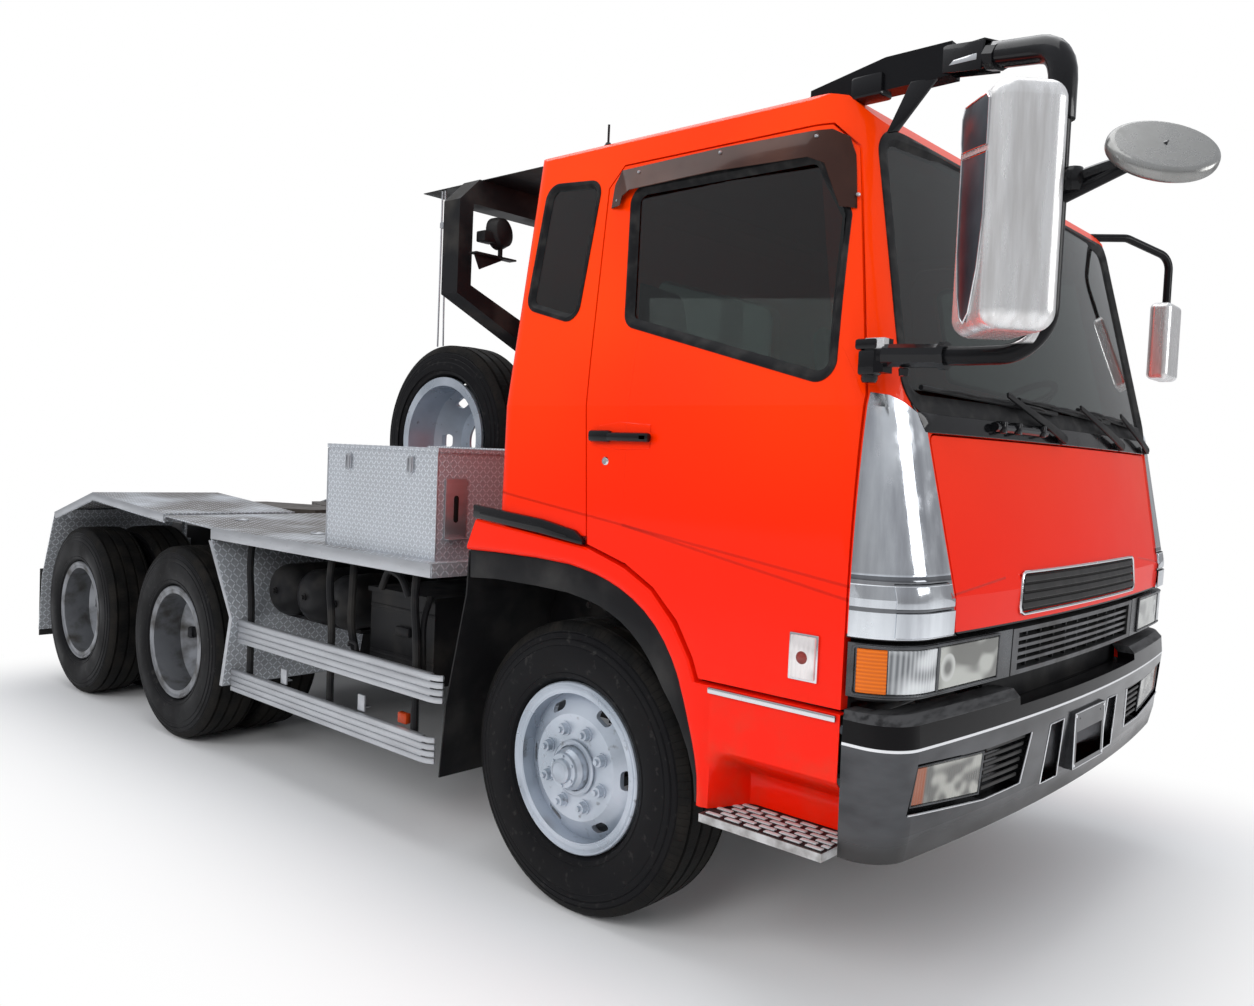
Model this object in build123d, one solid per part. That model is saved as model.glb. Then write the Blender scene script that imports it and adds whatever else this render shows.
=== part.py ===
"""Three-axle cab-over tractor unit: chassis, hinged doors, tilting cab, fifth wheel.

Every piece is modelled with X across the truck, Y measured back from the front axle
and Z up from the ground, in millimetres. export() then moves it so that the origin
lies on the ground at the middle of the overall length. The truck faces -Y, and its
right side is -X.
"""
import os
from math import cos, radians, sin, sqrt

from build123d import *

# ---------------------------------------------------------------- driving sizes
front_reach = 1885
wheelbase = 2920
tandem_spacing = 1300
rear_overhang = 760
mid_y = wheelbase
rear_y = wheelbase + tandem_spacing
front_axle_y = (front_reach - rear_y - rear_overhang) / 2

tyre_radius = 512
tyre_width = 280
rim_radius = 298.5
rim_width = 236
front_track = 2062
rear_outer_x = 1101
twin_spacing = 320

body_half = 1240
fit_gap = 0.3
panel_gap = 6

# ladder frame
rail_outer_x = 425
rail_height = 260
rail_flange = 80
rail_web = 9
rail_top_z = 1000
rail_front_y = -1040
tail_depth = 60
rail_rear_y = rear_y + rear_overhang - tail_depth

# cab
cab_bottom_z = 965
cab_floor_z = 1250
cab_floor_plate = 45
cab_rear_y = 365
cab_wall = 45
door_wall = 54
belt_z = 1760
roof_z = 2700
tunnel_half = 430
tunnel_top_z = 1500

# deck and rear wings
deck_z = 1155
deck_front_y = 710
deck_fold_y = 2500
deck_edge_height = 56
deck_plate = 8
wing_ridge_y = 4000
wing_ridge_z = 1250
wing_end_y = 4610
wing_end_z = 1090
wing_inner_x = 470

# tool box and spare wheel
box_outer_x = 1180
box_inner_x = 660
box_front_y = 772
box_rear_y = 1552
box_top_z = 1600
box_wall = 4
lid_thick = 16
spare_radius = 455
spare_width = 250
spare_outer_x = 622
spare_y = 1490

# fifth wheel
coupling_y = wheelbase + 560
coupling_top_z = 1195
kingpin_radius = 25.4
jaw_length = 70
plate_half_width = 440

parts_folder = "parts"


def export(node, shape):
    """Write one named sub-component, moved to the model's own origin."""
    solids = [Pos(0, front_axle_y, 0) * solid for solid in shape.solids()]
    export_step(Compound(children=solids) if len(solids) > 1 else solids[0],
                os.path.join(parts_folder, node + ".step"))


def both_sides(shape):
    """A shape and its mirror image in the truck's centre plane."""
    return shape + mirror(shape, Plane.YZ)


def box_between(x0, x1, y0, y1, z0, z1):
    """A block given by its two corners."""
    return Pos((x0 + x1) / 2, (y0 + y1) / 2, (z0 + z1) / 2) * Box(
        abs(x1 - x0), abs(y1 - y0), abs(z1 - z0))


def rod(start, end, radius):
    """A round bar from one point to another."""
    axis = Vector(*end) - Vector(*start)
    return Plane(origin=start, z_dir=axis) * Pos(0, 0, axis.length / 2) * Cylinder(
        radius, axis.length)


def side_prism(points, x0, x1):
    """A closed outline in Y and Z, pulled along X."""
    face = make_face(Polyline(*points, close=True))
    return Pos(x0, 0, 0) * extrude(Plane.YZ * face, x1 - x0, dir=(1, 0, 0))


def front_prism(face, y0, y1):
    """A face drawn in X and Z, pulled along Y from y0 to y1."""
    plane = Plane(origin=(0, y1, 0), x_dir=(1, 0, 0), z_dir=(0, -1, 0))
    return extrude(plane * face, y1 - y0, dir=(0, -1, 0))


def bent_tube(points, bend_radius, section):
    """A section swept along straight runs joined by tangent arcs."""
    path = FilletPolyline(*points, radius=bend_radius)
    return sweep(Plane(origin=path @ 0, z_dir=path % 0) * section, path=path)


# ---------------------------------------------------------------- chassis
def chassis_frame():
    """Two channel rails tied by cross members, with the tail bar behind."""
    web = box_between(rail_outer_x - rail_web, rail_outer_x, rail_front_y, rail_rear_y,
                      rail_top_z - rail_height, rail_top_z)
    rail = web
    for flange_z in (rail_top_z - rail_web, rail_top_z - rail_height):
        rail += box_between(rail_outer_x - rail_flange, rail_outer_x, rail_front_y,
                            rail_rear_y, flange_z, flange_z + rail_web)
    frame = both_sides(rail)
    cross_half = rail_outer_x - rail_web
    cross_length = 90
    cross_drop = 40
    for cross_y in (rail_front_y, 960, 1750, mid_y - 420, mid_y + tandem_spacing / 2 - 45,
                    rail_rear_y - cross_length):
        frame += box_between(-cross_half, cross_half, cross_y, cross_y + cross_length,
                             rail_top_z - rail_height + cross_drop, rail_top_z - cross_drop)
    tail_half = 1120
    tail_height = 110
    frame += box_between(-tail_half, tail_half, rail_rear_y, rail_rear_y + tail_depth,
                         rail_top_z - 200, rail_top_z - 200 + tail_height)
    return frame


king_pin_x = 915
king_pin_radius = 22
knuckle_gap = 3
beam_drop_z = 385


def front_axle():
    """Forged beam, dropped in the middle, with an eye for the king pin at each end."""
    beam_half_depth = 40
    eye_half_height = 60
    outline = [(0, beam_drop_z - 45), (560, beam_drop_z - 45),
               (760, tyre_radius - eye_half_height), (king_pin_x, tyre_radius - eye_half_height),
               (king_pin_x, tyre_radius + eye_half_height), (740, tyre_radius + eye_half_height),
               (540, beam_drop_z + 45), (0, beam_drop_z + 45)]
    face = make_face(Polyline(*outline, close=True))
    side = front_prism(face, -beam_half_depth, beam_half_depth)
    pad = box_between(340, 470, -90, 90, beam_drop_z + 20, beam_drop_z + 60 - fit_gap)
    eye = Pos(king_pin_x, 0, tyre_radius) * Cylinder(beam_half_depth, 2 * eye_half_height)
    beam = both_sides(side + pad + eye)
    eye_bore = Pos(king_pin_x, 0, tyre_radius) * Cylinder(king_pin_radius + 0.05, 400)
    return beam - both_sides(eye_bore)


axle_tube_radius = 70
rear_spindle_radius = 45
rear_spindle_end = 1000


def rear_axles():
    """Two driven axle housings with round differential cases, and the shafts to them."""
    housings = None
    diff_radius = 210
    tube_half = 850
    for axle_y in (mid_y, rear_y):
        tube = Pos(0, axle_y, tyre_radius) * Rot(0, 90, 0) * Cylinder(axle_tube_radius,
                                                                      2 * tube_half)
        case = Pos(0, axle_y, tyre_radius) * Rot(0, 90, 0) * Cylinder(diff_radius, 190)
        nose = rod((0, axle_y, tyre_radius + 40), (0, axle_y - 330, tyre_radius + 60), 95)
        spindle = Pos(0, axle_y, tyre_radius) * Rot(0, 90, 0) * Cylinder(
            rear_spindle_radius, 2 * rear_spindle_end)
        housing = tube + fillet(case.edges(), 40) + nose + spindle
        housings = housing if housings is None else housings + housing
    front_run = rod((0, 905, 720), (0, mid_y - 328, tyre_radius + 60), 50)
    rear_run = rod((0, mid_y + 90, tyre_radius + 40), (0, rear_y - 328, tyre_radius + 60), 45)
    return housings + front_run + rear_run


spring_width = 90
front_spring_half = 780
spring_x = 380


def suspension():
    """Leaf springs: a long pair in front, and a pair pivoted between the rear axles."""
    seat_z = beam_drop_z + 60
    leaf = 16
    pack = None
    for count, half in enumerate((front_spring_half, 620, 460, 300)):
        z0 = seat_z + leaf * (3 - count)
        strip = box_between(spring_x, spring_x + spring_width, -half, half, z0, z0 + leaf)
        pack = strip if pack is None else pack + strip
    hanger_top = rail_top_z - rail_height
    for hanger_y in (-front_spring_half, front_spring_half - 80):
        pack += box_between(spring_x, spring_x + 60, hanger_y, hanger_y + 80,
                            seat_z + 4 * leaf, hanger_top)
    trunnion_y = (mid_y + rear_y) / 2
    half = tandem_spacing / 2 + 60
    rear_pack = None
    rear_z = tyre_radius + axle_tube_radius + 12
    outer = spring_x + spring_width
    for count in range(5):
        reach = half - 110 * count
        z0 = rear_z + leaf * count
        strip = box_between(spring_x, outer, trunnion_y - reach, trunnion_y + reach, z0,
                            z0 + leaf)
        rear_pack = strip if rear_pack is None else rear_pack + strip
    rear_pack += box_between(spring_x, outer, trunnion_y - 110, trunnion_y + 110,
                             rear_z + 5 * leaf, hanger_top)
    for axle_y in (mid_y, rear_y):
        saddle = box_between(spring_x, outer, axle_y - 60, axle_y + 60, tyre_radius, rear_z)
        rear_pack += saddle - Pos(0, axle_y, tyre_radius) * Rot(0, 90, 0) * Cylinder(
            axle_tube_radius + fit_gap, 2000)
    return both_sides(pack) + both_sides(rear_pack)


def engine_block():
    """Engine with its gearbox behind it, as one plain stepped block."""
    engine = box_between(-320, 320, -620, 460, 640, 1400)
    gearbox = box_between(-240, 240, 460, 900, 590, 940)
    feet_reach = rail_outer_x - rail_web - fit_gap
    feet = box_between(-feet_reach, feet_reach, -300, -200, 800, 860)
    return engine + gearbox + feet


# ---------------------------------------------------------------- cab outline
# z, front face at the centre, corner's set-back from it, half width
cab_levels = [
    (900, -1292, 62, 1240),
    (1250, -1302, 66, 1240),
    (belt_z, -1218, 84, 1232),
    (2560, -1052, 100, 1112),
    (2860, -990, 105, 1068),
]
front_corner_radius = 165
rear_corner_radius = 70


def cab_section(level, inset, front_inset):
    """One closed plan outline of the cab: two sides, a bowed front and a flat back."""
    z, front_y, set_back, half = level
    half -= inset
    front = front_y + front_inset
    back = cab_rear_y - inset
    side_y = front + set_back
    outline = (Line((-half, back), (-half, side_y))
               + ThreePointArc((-half, side_y), (0, front), (half, side_y))
               + Line((half, side_y), (half, back)) + Line((half, back), (-half, back)))
    face = make_face(outline)
    corners = face.vertices().sort_by(Axis.Y)
    face = fillet(corners[:2], max(front_corner_radius - inset, 40))
    rear_corners = face.vertices().sort_by(Axis.Y)[-2:]
    face = fillet(rear_corners, max(rear_corner_radius - inset, 20))
    return Pos(0, 0, z) * face


def cab_body(inset=0.0, front_inset=None, roof_drop=None):
    """The cab's outer form, moved in by inset: a ruled loft cut by the domed roof."""
    front_inset = inset if front_inset is None else front_inset
    roof_drop = inset if roof_drop is None else roof_drop
    body = None
    sections = [cab_section(level, inset, front_inset) for level in cab_levels]
    body = loft(sections, ruled=True)
    return body & roof_form(inset, roof_drop)


def roof_form(inset, roof_drop):
    """Everything under the domed roof: a side profile crossed with a front profile."""
    top = roof_z - roof_drop
    front_y = cab_levels[0][1] - 100
    back = cab_rear_y - inset
    side = [(front_y, 0), (front_y, 2350), (-1010 + inset, top - 150),
            (-900 + inset, top - 45), (-600, top), (cab_rear_y - 140, top),
            (back - 35, top - 30), (back, top - 90), (cab_rear_y + 100, 0)]
    edge = 100
    crown = 28
    shoulder = 80
    half = 1118 - inset
    beyond = half + 200
    across = make_face(
        Polyline((-beyond, 0), (-beyond, top - 260), (-half, top - crown - shoulder))
        + ThreePointArc((-half, top - crown - shoulder), (-half + 22, top - crown - 20),
                        (-half + edge, top - crown))
        + ThreePointArc((-half + edge, top - crown), (0, top), (half - edge, top - crown))
        + ThreePointArc((half - edge, top - crown), (half - 22, top - crown - 20),
                        (half, top - crown - shoulder))
        + Polyline((half, top - crown - shoulder), (beyond, top - 260), (beyond, 0),
                   (-beyond, 0)))
    return side_prism(side, -beyond, beyond) & front_prism(across, -2000, 1000)


# ---------------------------------------------------------------- cab openings
# door outline as (Y, Z) from its lower front corner, clockwise seen from the right
door_front_y = -1085
door_bottom_z = 937
door_rear_y = -60
door_hinge_x = body_half + 4
door_outline = [
    (door_front_y, door_bottom_z), (door_front_y, 1790), (-955, 2500), (-880, 2572),
    (-90, 2572), (-30, 2500), (door_rear_y, 1900), (-104, 1300), (-280, 1252),
    (-400, 1190), (-500, 1100), (-565, 1000), (-592, door_bottom_z),
]
door_window = [(-988, 1822), (-955, 2300), (-850, 2478), (-150, 2478), (-205, 2030)]
quarter_window = [(282, 2115), (262, 2545), (14, 2525), (38, 2050)]
window_corner = 45
windshield_outline = [(-1085, 1772), (-985, 2548), (985, 2548), (1085, 1772)]
rear_window_outline = [(-450, 1950), (-450, 2330), (450, 2330), (450, 1950)]
panel_outline = [(-955, 1146), (-1000, 1692), (1000, 1692), (955, 1146)]
panel_depth = 45
lamp_depth = 60
lamp_top_z = 1136
lamp_inner_x = 598
cab_side = 60


def rounded_face(points, radius, grow=0.0):
    """An outline with rounded corners, grown or shrunk all round."""
    face = make_face(Polyline(*points, close=True))
    face = fillet(face.vertices(), radius)
    return offset(face, grow) if grow else face


def side_cut(face, x0, x1):
    """A face drawn in Y and Z, pulled along X."""
    return Pos(x0, 0, 0) * extrude(Plane.YZ * face, x1 - x0, dir=(1, 0, 0))


cab_outer = cab_body()
cab_inner = cab_body(cab_side)


def cab_shell():
    """Welded cab: roof, pillars, floor with engine tunnel, firewall and step wells."""
    firewall_y = -1150
    shell = cab_outer - (cab_inner & box_between(-1300, 1300, firewall_y, 600,
                                                 cab_floor_z + cab_floor_plate, 2800))
    shell -= cab_inner & box_between(-1300, 1300, -1400, firewall_y + 1, belt_z - 45, 2800)
    arch_front_y = -640
    well_inner_x = 930
    front_wall_rear_y = -1190
    shell -= box_between(-1300, 1300, arch_front_y, 600, 800, cab_floor_z)
    shell -= box_between(-well_inner_x, well_inner_x, front_wall_rear_y, arch_front_y + 1,
                         800, cab_floor_z)
    shell -= box_between(-1300, 1300, -1500, 600, 800, cab_bottom_z)
    for side in (-1, 1):
        shell -= box_between(side * (well_inner_x + 30), side * (body_half - cab_side),
                             door_front_y + 40, arch_front_y - 30, cab_bottom_z + 30,
                             cab_floor_z + 100)
    tunnel_front_y = -1100
    cover = 40
    shell += box_between(-tunnel_half - cover, tunnel_half + cover, firewall_y - 5,
                         cab_rear_y - 30, cab_floor_z, tunnel_top_z)
    shell -= box_between(-tunnel_half, tunnel_half, tunnel_front_y, cab_rear_y + 10, 800,
                         tunnel_top_z - cover)
    sill = [(-200, 800), (-200, 1330), (door_rear_y - 30, 1330), (cab_rear_y + 20, 1362),
            (cab_rear_y + 20, 800)]
    sills = side_prism(sill, -1300, 1300) - box_between(
        -body_half + cab_side, body_half - cab_side, -300, 500, 700, 1500)
    shell -= both_sides(box_between(-1300, -body_half + cab_side, arch_front_y, door_rear_y,
                                    800, 1330))
    shell -= sills
    for side in (-1, 1):
        shell -= side_band(side, -60, cab_side) & side_prism(door_outline, -1400, 1400)
    shell -= side_cut(rounded_face(quarter_window, window_corner), -1300, 1300)
    shell -= front_prism(rounded_face(windshield_outline, 70), -1400, -700)
    shell -= front_prism(rounded_face(rear_window_outline, 60), 250, 500)
    pocket = rounded_face(panel_outline, 20, panel_gap)
    shell -= front_prism(pocket, -1500, -1000) - cab_body(panel_depth + 5)
    lamp_band = box_between(-1300, 1300, -1500, door_front_y, 800, lamp_top_z + 6)
    shell -= lamp_band - cab_body(lamp_depth + fit_gap)
    return shell


def front_panel():
    """Service lid under the windshield, with the slatted upper grille cut in it."""
    lid = front_prism(rounded_face(panel_outline, 20), -1500, -1000) & (
        cab_outer - cab_body(panel_depth))
    half, low_z, high_z, slats = 565, 1180, 1292, 4
    pitch = (high_z - low_z) / slats
    recess = front_prism(make_face(Polyline((-half, low_z), (-half + 5, high_z),
                                            (half - 5, high_z), (half, low_z), close=True)),
                         -1500, -1000)
    lid -= recess - cab_body(panel_depth - 12)
    for row in range(1, slats):
        bar_z = low_z + row * pitch
        bar = box_between(-half, half, -1500, -1000, bar_z - 5, bar_z + 5) & (
            cab_body(6) - cab_body(panel_depth - 12))
        lid += bar
    return lid


def lower_grille():
    """Slatted grille between the headlamps."""
    band = cab_outer - cab_body(lamp_depth)
    half, low_z, high_z, slats = 590, 985, 1128, 5
    frame = box_between(-half, half, -1500, -1000, low_z, high_z) & band
    inner_half, rim = half - 40, 14
    frame -= box_between(-inner_half, inner_half, -1500, -1000, low_z + rim,
                         high_z - rim) - cab_body(lamp_depth - 14)
    pitch = (high_z - low_z - 2 * rim) / slats
    for row in range(1, slats):
        bar_z = low_z + rim + row * pitch
        frame += box_between(-inner_half, inner_half, -1500, -1000, bar_z - 5, bar_z + 5) & (
            cab_body(6) - cab_body(lamp_depth - 14))
    return frame


def headlamps():
    """Wrap-round lamp units, one at each corner under the chrome."""
    unit = box_between(-1300, -lamp_inner_x, -1500, door_front_y - panel_gap, 985, 1130) & (
        cab_outer - cab_body(lamp_depth))
    return both_sides(unit)


def corner_panels():
    """Chromed wind deflector panels that wrap each front corner of the cab."""
    outline = [(-1300, 1146), (-975, 1146), (-1020, 1700), (-1030, 1738), (-1150, 1792),
               (-1300, 1812)]
    face = make_face(Polyline(*outline, close=True))
    skin = cab_body(-5) - cab_body(-fit_gap)
    panel = front_prism(face, -1500, door_front_y - panel_gap) & skin
    return both_sides(panel)


def cab_glass():
    """Windshield, quarter windows and rear window, each set in its opening."""
    pane = cab_body(10) - cab_body(16)
    front = front_prism(rounded_face(windshield_outline, 70, -fit_gap), -1400, -700) & pane
    quarters = side_cut(rounded_face(quarter_window, window_corner, -fit_gap), -1300,
                        1300) & pane
    back = front_prism(rounded_face(rear_window_outline, 60, -fit_gap), 250, 500) & pane
    return Compound(children=[*front.solids(), *quarters.solids(), *back.solids()])


def side_band(side, near, far):
    """The layer between two depths in from one flank of the cab, as a long prism."""
    outer_line = [(side * (half - near), z) for z, _, _, half in cab_levels]
    inner_line = [(side * (half - far), z) for z, _, _, half in cab_levels]
    face = make_face(Polyline(*outer_line, *reversed(inner_line), close=True))
    return front_prism(face, door_front_y - 50, 200)


def door(side):
    """One full-thickness door with its window cut out; side is -1 for the right."""
    outline = make_face(Polyline(*door_outline, close=True))
    slab = side_band(side, -60, door_wall) & side_cut(offset(outline, -panel_gap), -1400, 1400)
    slab -= side_cut(rounded_face(door_window, window_corner), -1400, 1400)
    return slab & cab_outer


def door_glass(side):
    """The pane in one door."""
    pane = rounded_face(door_window, window_corner, -fit_gap)
    return side_band(side, 14, 19) & side_cut(pane, -1400, 1400)


def seats():
    """Driver's and passenger's seats on their boxes."""
    seat_inner_x = tunnel_half + 60
    seat_width = 500
    cushion_low, cushion_top = 1540, 1670
    cushion = box_between(seat_inner_x, seat_inner_x + seat_width, -440, 60, cushion_low,
                          cushion_top)
    base = box_between(seat_inner_x + 60, seat_inner_x + seat_width - 60, -380, 0,
                       cab_floor_z + cab_floor_plate, cushion_low)
    back = side_prism([(-10, cushion_top - 30), (90, cushion_top - 30), (210, 2280),
                       (130, 2300)], seat_inner_x + 10, seat_inner_x + seat_width - 10)
    return both_sides(cushion + base + back)


def dashboard():
    """Instrument panel across the firewall with the steering column."""
    panel = side_prism([(-1149, 1300), (-1149, 1735), (-900, 1735), (-830, 1640),
                        (-900, 1480), (-1040, 1300)], -1120, 1120)
    panel = panel & cab_body(cab_side + fit_gap)
    panel -= box_between(-tunnel_half - 42, tunnel_half + 42, -1300, 0, 1200, tunnel_top_z
                         + fit_gap)
    column = rod(column_foot, column_top, 28)
    return panel + column


driver_x = 690
wheel_centre = Vector(driver_x, -700, 1850)
column_axis = Vector(0, 0.55, 0.835).normalized()
column_top = tuple(wheel_centre - column_axis * 26)
column_foot = tuple(wheel_centre - column_axis * 330)


def steering_wheel():
    """Rim, three spokes and hub."""
    rim_r, bar_r = 225, 14
    wheel = Torus(rim_r, bar_r) + Pos(0, 0, -6) * Cylinder(42, 30)
    for turn in (90, 210, 330):
        wheel += Rot(0, 0, turn) * Pos(rim_r / 2, 0, -6) * Box(rim_r - 4, 26, 10)
    return Plane(origin=wheel_centre, z_dir=column_axis) * wheel


# ---------------------------------------------------------------- mirrors
mirror_reach_x = 1475
mirror_post = (-1190, -1548)
round_mirror_radius = 118
round_mirror_thick = 36
round_mirror_normal = Vector(-0.55, -0.42, 0.72).normalized()
round_mirror_edge = 15
mirror_head_edge = 45


def mirrors():
    """Right: tall head and round kerb mirror on one looped arm. Left: small head."""
    post_x, post_y = mirror_post
    arm = bent_tube([(-1010, -1185, 2697), (post_x, post_y, 2600), (post_x, post_y, 1885),
                     (-1215, -1370, 1882), (-1222, -1130, 1890)], 110, Circle(24))
    width, depth, height, turn = 240, 170, 550, 45
    head = fillet(Box(width, depth, height).edges(), mirror_head_edge)
    reach = ((width / 2 - mirror_head_edge) * cos(radians(turn))
             + (depth / 2 - mirror_head_edge) * sin(radians(turn)) + mirror_head_edge)
    head = Pos(reach - mirror_reach_x, -1500, 2185) * Rot(0, 0, turn) * head
    bracket = side_prism([(-760, 2650), (-1195, 2655), (-1195, 2745), (-1000, 2745),
                          (-760, 2700)], -1040, -980)
    foot = box_between(-1240, -1190, -1150, -1095, 1845, 1935)
    flat = round_mirror_radius - round_mirror_edge
    half_y = (flat * sqrt(1 - round_mirror_normal.Y ** 2)
              + (round_mirror_thick / 2 - round_mirror_edge) * abs(round_mirror_normal.Y)
              + round_mirror_edge)
    centre = (-1200, half_y - front_reach, 2318)
    disc = Plane(origin=centre, z_dir=round_mirror_normal) * fillet(
        Cylinder(round_mirror_radius, round_mirror_thick).edges(), round_mirror_edge)
    stalk = rod((post_x, post_y, 2240), (-1195, centre[1] + 30, centre[2] - 4), 14)
    skin = cab_body(-fit_gap)
    for clamp_z in (2010, 2370):
        head += rod((post_x, post_y, clamp_z), (-1300, -1500, clamp_z), 12)
    right = arm + head + bracket + foot + stalk + disc - skin
    left_x = mirror_reach_x - 95
    left_head = Pos(left_x, -1130, 2212) * fillet(Box(190, 90, 340).edges(), 25)
    left_arm = bent_tube([(1020, -880, 2640), (1160, -1010, 2650), (left_x, -1130, 2590),
                          (left_x, -1130, 2370)], 70, Circle(17))
    left = left_arm + left_head - skin
    return Compound(children=[*right.solids(), *left.solids()])


# ---------------------------------------------------------------- behind the cab
arch_x = 1000
arch_y = 920
arch_section = 105
arch_top_z = 2720


def canopy_frame():
    """Square-tube hoop on the deck that carries the canopy and the work lamp."""
    leg_x, leg_width, post_width = 560, 75, 71
    beam_z = arch_top_z - arch_section
    outline = [(0, arch_top_z), (-arch_x + 100, arch_top_z), (-arch_x, arch_top_z - 98),
               (-arch_x, 2240), (-leg_x, 2040), (-leg_x, deck_z + fit_gap),
               (-leg_x + leg_width, deck_z + fit_gap), (-leg_x + leg_width, 2105),
               (-arch_x + post_width, 2280), (-arch_x + post_width, beam_z), (0, beam_z)]
    face = make_face(Polyline(*outline, close=True))
    hoop = both_sides(front_prism(face, arch_y, arch_y + arch_section))
    foot = box_between(-leg_x - 60, -leg_x + leg_width + 60, arch_y - 30,
                       arch_y + arch_section + 5, deck_z + fit_gap, deck_z + 12)
    return hoop + both_sides(foot)


def canopy_sheet():
    """Thin ribbed roof sheet lying on the hoop."""
    sheet_half = 880
    z0 = arch_top_z + fit_gap
    sheet = box_between(-sheet_half, sheet_half, cab_rear_y + 25, 1330, z0, z0 + 3)
    for rib in range(-4, 5):
        rib_x = rib * 200
        sheet += box_between(rib_x - 20, rib_x + 20, cab_rear_y + 25, 1330, z0, z0 + 18)
    return sheet


# ---------------------------------------------------------------- bumper and wings
plate_hole_spacing = 210
plate_hole_z = 788


def bumper():
    """Wrap-round front bumper with slots, lamp pockets and a number plate frame."""
    end_y = -1091
    set_back = 80
    wall = 60
    pocket_depth = 42
    top_z = 948
    notch_z = 900

    def section(level, inset):
        z, front_y, half = level
        front, half = front_y + inset, half - inset
        side_y = front + set_back
        outline = (Line((-half, end_y), (-half, side_y))
                   + ThreePointArc((-half, side_y), (0, front), (half, side_y))
                   + Line((half, side_y), (half, end_y)) + Line((half, end_y), (-half, end_y)))
        face = make_face(outline)
        corners = face.vertices().sort_by(Axis.Y)[:2]
        return Pos(0, 0, z) * fillet(corners, 120 - inset)

    def form(inset):
        levels = [(545, -1296, 1238), (620, -1312, 1242), (860, -1332, 1247),
                  (925, -1326, 1245), (top_z, -1304, 1241)]
        return loft([section(level, inset) for level in levels], ruled=True)

    inner = box_between(-1180, 1180, -1150, -1000, 500, 1000)
    shell = form(0) - form(wall) - inner
    pocket = make_face(Polyline((478, 803), (517, 648), (758, 645), (1160, 680), (1140, 818),
                                (765, 800), close=True))
    shell -= both_sides(front_prism(pocket, -1500, -1000) - form(pocket_depth))
    slot = make_face(Polyline((224, 806), (336, 803), (356, 612), (220, 612), close=True))
    shell -= both_sides(front_prism(slot, -1500, -1100))
    shell -= box_between(-575, 575, -1500, -1100, notch_z, 1000)
    plate_back = box_between(-152, 152, -1338, -1300, 622, 812) - form(1)
    shell += plate_back
    shell -= box_between(-128, 128, -1400, -1100, 640, 745)
    hole = Pos(plate_hole_spacing / 2, -1300, plate_hole_z) * Rot(90, 0, 0) * Cylinder(
        3.5, 200)
    shell -= both_sides(hole)
    beam = box_between(-700, 700, -1230, -1160, 830, 880)
    ties = both_sides(box_between(340, 410, -1230, rail_front_y, 830, 880))
    side_ties = both_sides(box_between(640, 700, -1290, -1160, 830, 880))
    return shell + beam + ties + side_ties


fender_outer_x = 1245
fender_band = 50
step_top_z = 559
arch_lip = [(505, 1226), (300, 1228), (12, 1215), (-267, 1138), (-444, 974), (-576, 752),
            (-606, 640)]


def thickened(line, thick):
    """A closed outline: a line of points and its copy moved to its left by thick."""
    moved = []
    for index, (y, z) in enumerate(line):
        before, after = line[max(index - 1, 0)], line[min(index + 1, len(line) - 1)]
        run_y, run_z = after[0] - before[0], after[1] - before[1]
        length = sqrt(run_y ** 2 + run_z ** 2)
        moved.append((y - thick * run_z / length, z + thick * run_y / length))
    return line + moved[::-1]


def front_fenders():
    """Painted wing round each front wheel, with the recessed panel below the door."""
    top_gap = panel_gap + 2
    crest = [(455, 1345), (-100, 1300 - top_gap), (-276, 1252 - top_gap - 4),
             (-392, 1190 - top_gap), (-490, 1100 - top_gap - 4), (-555, 1000 - top_gap),
             (-582, door_bottom_z - top_gap), (-1072, door_bottom_z - top_gap),
             (-1072, 560), (-606, 560)]
    band = side_prism(crest + list(reversed(arch_lip)), -fender_outer_x,
                      -fender_outer_x + fender_band)
    recess = box_between(-fender_outer_x - 10, -fender_outer_x + 35, -1073, -660, 550, 905)
    band -= recess
    band += box_between(-fender_outer_x + 35, -1000, -1072, -640, step_top_z + fit_gap, 590)
    band += box_between(-fender_outer_x + fender_band, -rail_outer_x - fit_gap, -1000, -960,
                        860, 900)
    return both_sides(band)


def mudguards():
    """Black arch liners over the front wheels and the rubber flaps behind all wheels."""
    liner_outer_x = fender_outer_x - fender_band - fit_gap
    liner = side_prism(thickened(arch_lip, -6), -liner_outer_x, -640)
    for bracket_y, top_z in ((380, 1229), (-300, 1108)):
        liner += box_between(-700, -rail_outer_x + 50, bracket_y, bracket_y + 40, top_z - 40,
                             top_z)
        liner += box_between(-rail_outer_x, -rail_outer_x + 50, bracket_y, bracket_y + 40,
                             rail_top_z + fit_gap, top_z)
    rear = side_prism([(505, 1225), (512, 1225), (520, 1063), (620, 626), (646, 337),
                       (640, 337), (613, 626), (513, 1063)], -1225, -760)
    rear += box_between(-liner_outer_x, -760, 499, 512, 1215, 1229)
    flaps = box_between(-1235, -640, 4862 + fit_gap, 4870, 260, 700)
    return both_sides(liner + rear) + both_sides(flaps)


def steps():
    """Slotted aluminium tread below each door."""
    tread = box_between(-1285, -1010, -1070, -655, step_top_z - 24, step_top_z)
    for row in range(2):
        for column in range(5):
            x0 = -1255 + row * 120
            y0 = -1050 + column * 80
            tread -= box_between(x0, x0 + 80, y0, y0 + 34, 500, 600)
    return both_sides(tread)


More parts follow.
